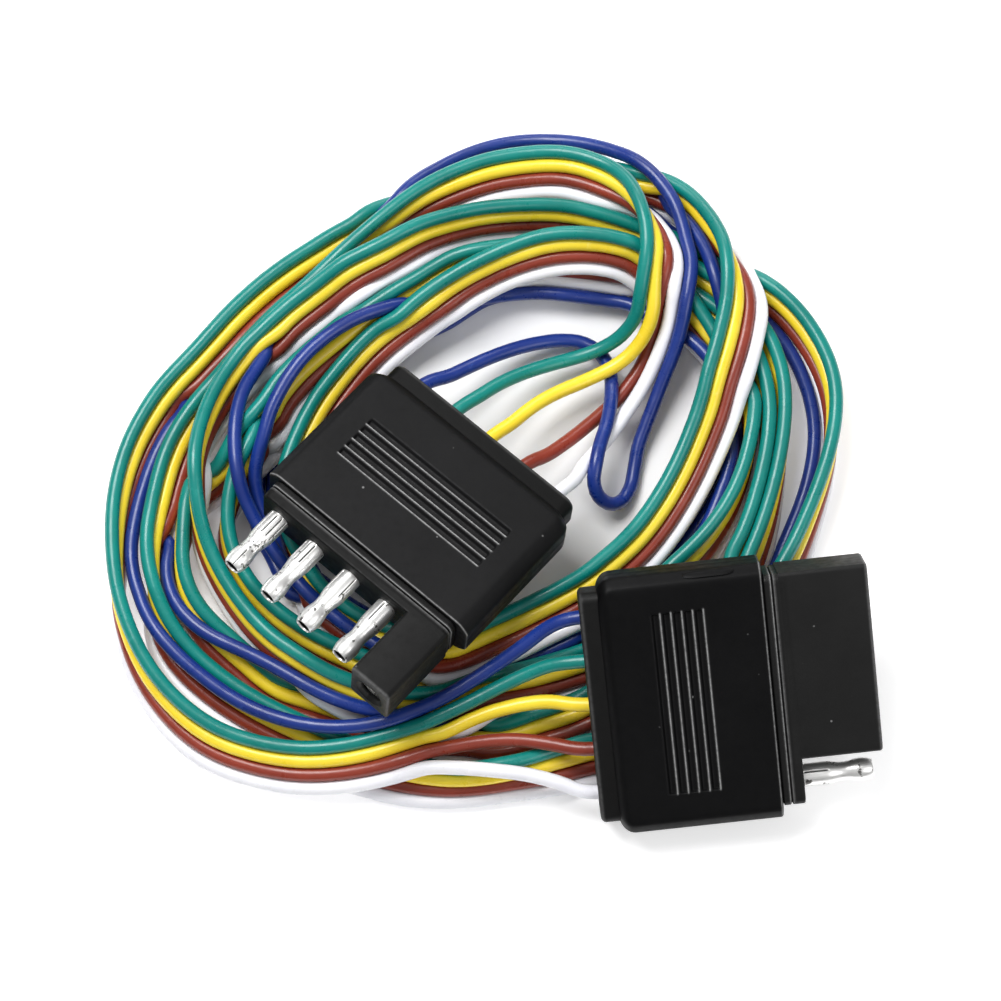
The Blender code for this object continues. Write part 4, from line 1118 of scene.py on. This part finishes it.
def make_pin(name, tag, y, turn):
    """Rolled bullet terminal: a slotted root, a waist and an open rolled tip."""
    seg = 180
    rows = np.array(PIN)
    s = np.concatenate([[0], np.cumsum(np.hypot(*np.diff(rows, axis=0).T))])
    outer_len = s[18]
    t = np.concatenate([np.linspace(0, outer_len, 84), np.linspace(outer_len, s[21], 14)[1:], [s[21] + 4, s[-1]]])
    xs, rs = np.interp(t, s, rows[:, 0]), np.interp(t, s, rows[:, 1])
    k = np.ones(3) / 3
    rs[1:80] = np.convolve(rs[:81], k, "valid")
    slots = [math.radians(a) + turn for a in (2, 34, 66, 98, 186, 278)]
    pits = [(49.4, 60, 0.30, 9), (50.1, 84, 0.22, 7), (50.9, 47, 0.26, 8), (48.9, 112, 0.2, 10),
            (51.7, 98, 0.22, 6), (53.4, 40, 0.2, 5), (49.9, 130, 0.25, 8), (54.6, 118, 0.2, 6)]
    bm = bmesh.new()
    layer = bm.verts.layers.float.new("painted_light_shade_and_wear")
    rings = []
    outer = int(np.argmax(xs))
    for n, (x, r) in enumerate(zip(xs, rs)):
        ring = []
        for j in range(seg):
            a = 2 * math.pi * j / seg
            rr = r
            dark = 0.0
            if n < outer:
                # painted shade: the slots and the seam are painted near black as well as cut in
                along = soft_step((x - 41.2) / 0.35) * soft_step((46.9 - x) / 0.5)
                for c in slots:
                    d = math.degrees((a - c + math.pi) % (2 * math.pi) - math.pi)
                    rr -= 0.42 * along * math.exp(-(d / 3.0) ** 2)
                    dark = max(dark, along * math.exp(-(d / 3.2) ** 2))
                d = math.degrees((a - turn - math.radians(50) + math.pi) % (2 * math.pi) - math.pi)
                seam = math.exp(-(d / 2.6) ** 2) * soft_step((x - 51.6) / 0.5)
                rr -= 0.34 * seam
                dark = max(dark, seam)
                # nicks from the forming rolls on the waist, each also darkened in the colour
                for px, pa, size, wide in pits:
                    d = math.degrees((a - turn - math.radians(pa) + math.pi) % (2 * math.pi) - math.pi)
                    nick = math.exp(-((x - px) / size) ** 2 - (d / wide) ** 2)
                    rr -= 0.10 * nick
                    dark = max(dark, 0.9 * soft_step((nick - 0.35) / 0.3))
            # painted shade: the inside of the rolled tip is painted near black
            elif n > outer + 2:
                dark = 0.97
            v = bm.verts.new((x, y + rr * math.cos(a), rr * math.sin(a)))
            v[layer] = dark
            ring.append(v)
        rings.append(ring)
    for r0, r1 in zip(rings, rings[1:]):
        for j in range(seg):
            bm.faces.new((r0[j], r0[(j + 1) % seg], r1[(j + 1) % seg], r1[j]))
    bm.faces.new(rings[0])
    bm.faces.new(rings[-1][::-1])
    return to_object(name, bm, MAT["metal"], tag, 50)


def make_gate(tag, sign):
    """Low pad left by the mould's side gate on the grip's flank."""
    bm = bmesh.new()

    def section(x):
        t = (x - 24.5) / 5.6
        w = 0.95 * math.sqrt(max(0.0, 1 - abs(t) ** 5)) + 0.03
        bump = 0.42 * math.sqrt(max(0.0, 1 - abs(t) ** 4)) + 0.02
        pts = []
        for i in range(14):
            a = 2 * math.pi * i / 14
            pts.append((27.85 + w * 0.7 * math.cos(a) + 0.25 * bump, 5.15 - w * 0.7 * math.cos(a) + bump * (1 if math.sin(a) > 0 else 0.1) * abs(math.sin(a)) ** 0.5))
        return pts

    add_loft(bm, spread((18.92, 19.6, 6), (19.6, 29.4, 10), (29.4, 30.08, 6)), section)
    if sign < 0:
        bmesh.ops.scale(bm, vec=(1, -1, 1), verts=bm.verts)
    return to_object("grip_%s_gate" % tag, bm, MAT["grip_" + tag], tag, 40)


COLOURS = ["blue", "green", "yellow", "brown", "white"]
for tag, side, shell in (("a", 1, False), ("b", -1, True)):
    grip = make_grip(tag)
    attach(grip, "root")
    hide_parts("grip_" + tag)
    body = make_carrier(tag, side, shell)
    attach(body, "root")
    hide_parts("carrier_" + tag)
    if shell:
        pad = make_gate(tag, 1)
        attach(pad, "root")
    for i, colour in enumerate(COLOURS):
        if (i == 4) != shell:
            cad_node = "%s_socket_%s" % (colour, tag)
            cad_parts[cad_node].data.materials.clear()
            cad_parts[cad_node].data.materials.append(MAT["metal"])
        else:
            pin = make_pin("%s_pin_%s_detail" % (colour, tag), tag, side * (i - 2) * 10.5, 0.5 + 0.9 * i)
            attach(pin, "root")
            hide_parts("%s_pin_%s" % (colour, tag))
        for kind, mat in (("tail", MAT[colour]), ("conductor", MAT["copper"])):
            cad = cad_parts["%s_%s_%s" % (colour, kind, tag)]
            cad.data.materials.clear()
            cad.data.materials.append(mat)



# ---- the five wires ---------------------------------------------------------
def wire_object(colour, p):
    curve = bpy.data.curves.new("wire_" + colour, "CURVE")
    curve.dimensions = "3D"
    curve.bevel_depth = D / 2 * MM
    curve.bevel_resolution = 5
    curve.resolution_u = 3
    curve.use_fill_caps = True
    spline = curve.splines.new("BEZIER")
    q = resample(p, 5.0)
    spline.bezier_points.add(len(q) - 1)
    for bp, co in zip(spline.bezier_points, q):
        bp.co = Vector(co * MM)
        bp.handle_left_type = bp.handle_right_type = "AUTO"
    curve.materials.append(MAT[colour])
    ob = bpy.data.objects.new("wire_" + colour, curve)
    scene.collection.objects.link(ob)
    return ob


solved = solve(start_wires(), 720)
for colour in COLOURS:
    path = solved[colour]
    path[:, 2] = np.maximum(path[:, 2], D / 2 + 0.15)
    wire = wire_object(colour, path)
    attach(wire, "root")
    nodes = ["%s_lead_%s" % (colour, tag) for tag in "ab"]
    if colour == "green":
        nodes.append("wire_coil")
    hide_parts(*nodes)
    length = float(np.linalg.norm(np.diff(path, axis=0), axis=1).sum()) * MM

# ---- sizes ------------------------------------------------------------------
bpy.context.view_layer.update()
flat = lambda b: [[float(x) for x in c] for c in b]
{"cad": flat(cad_box), "visual": flat(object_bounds())}
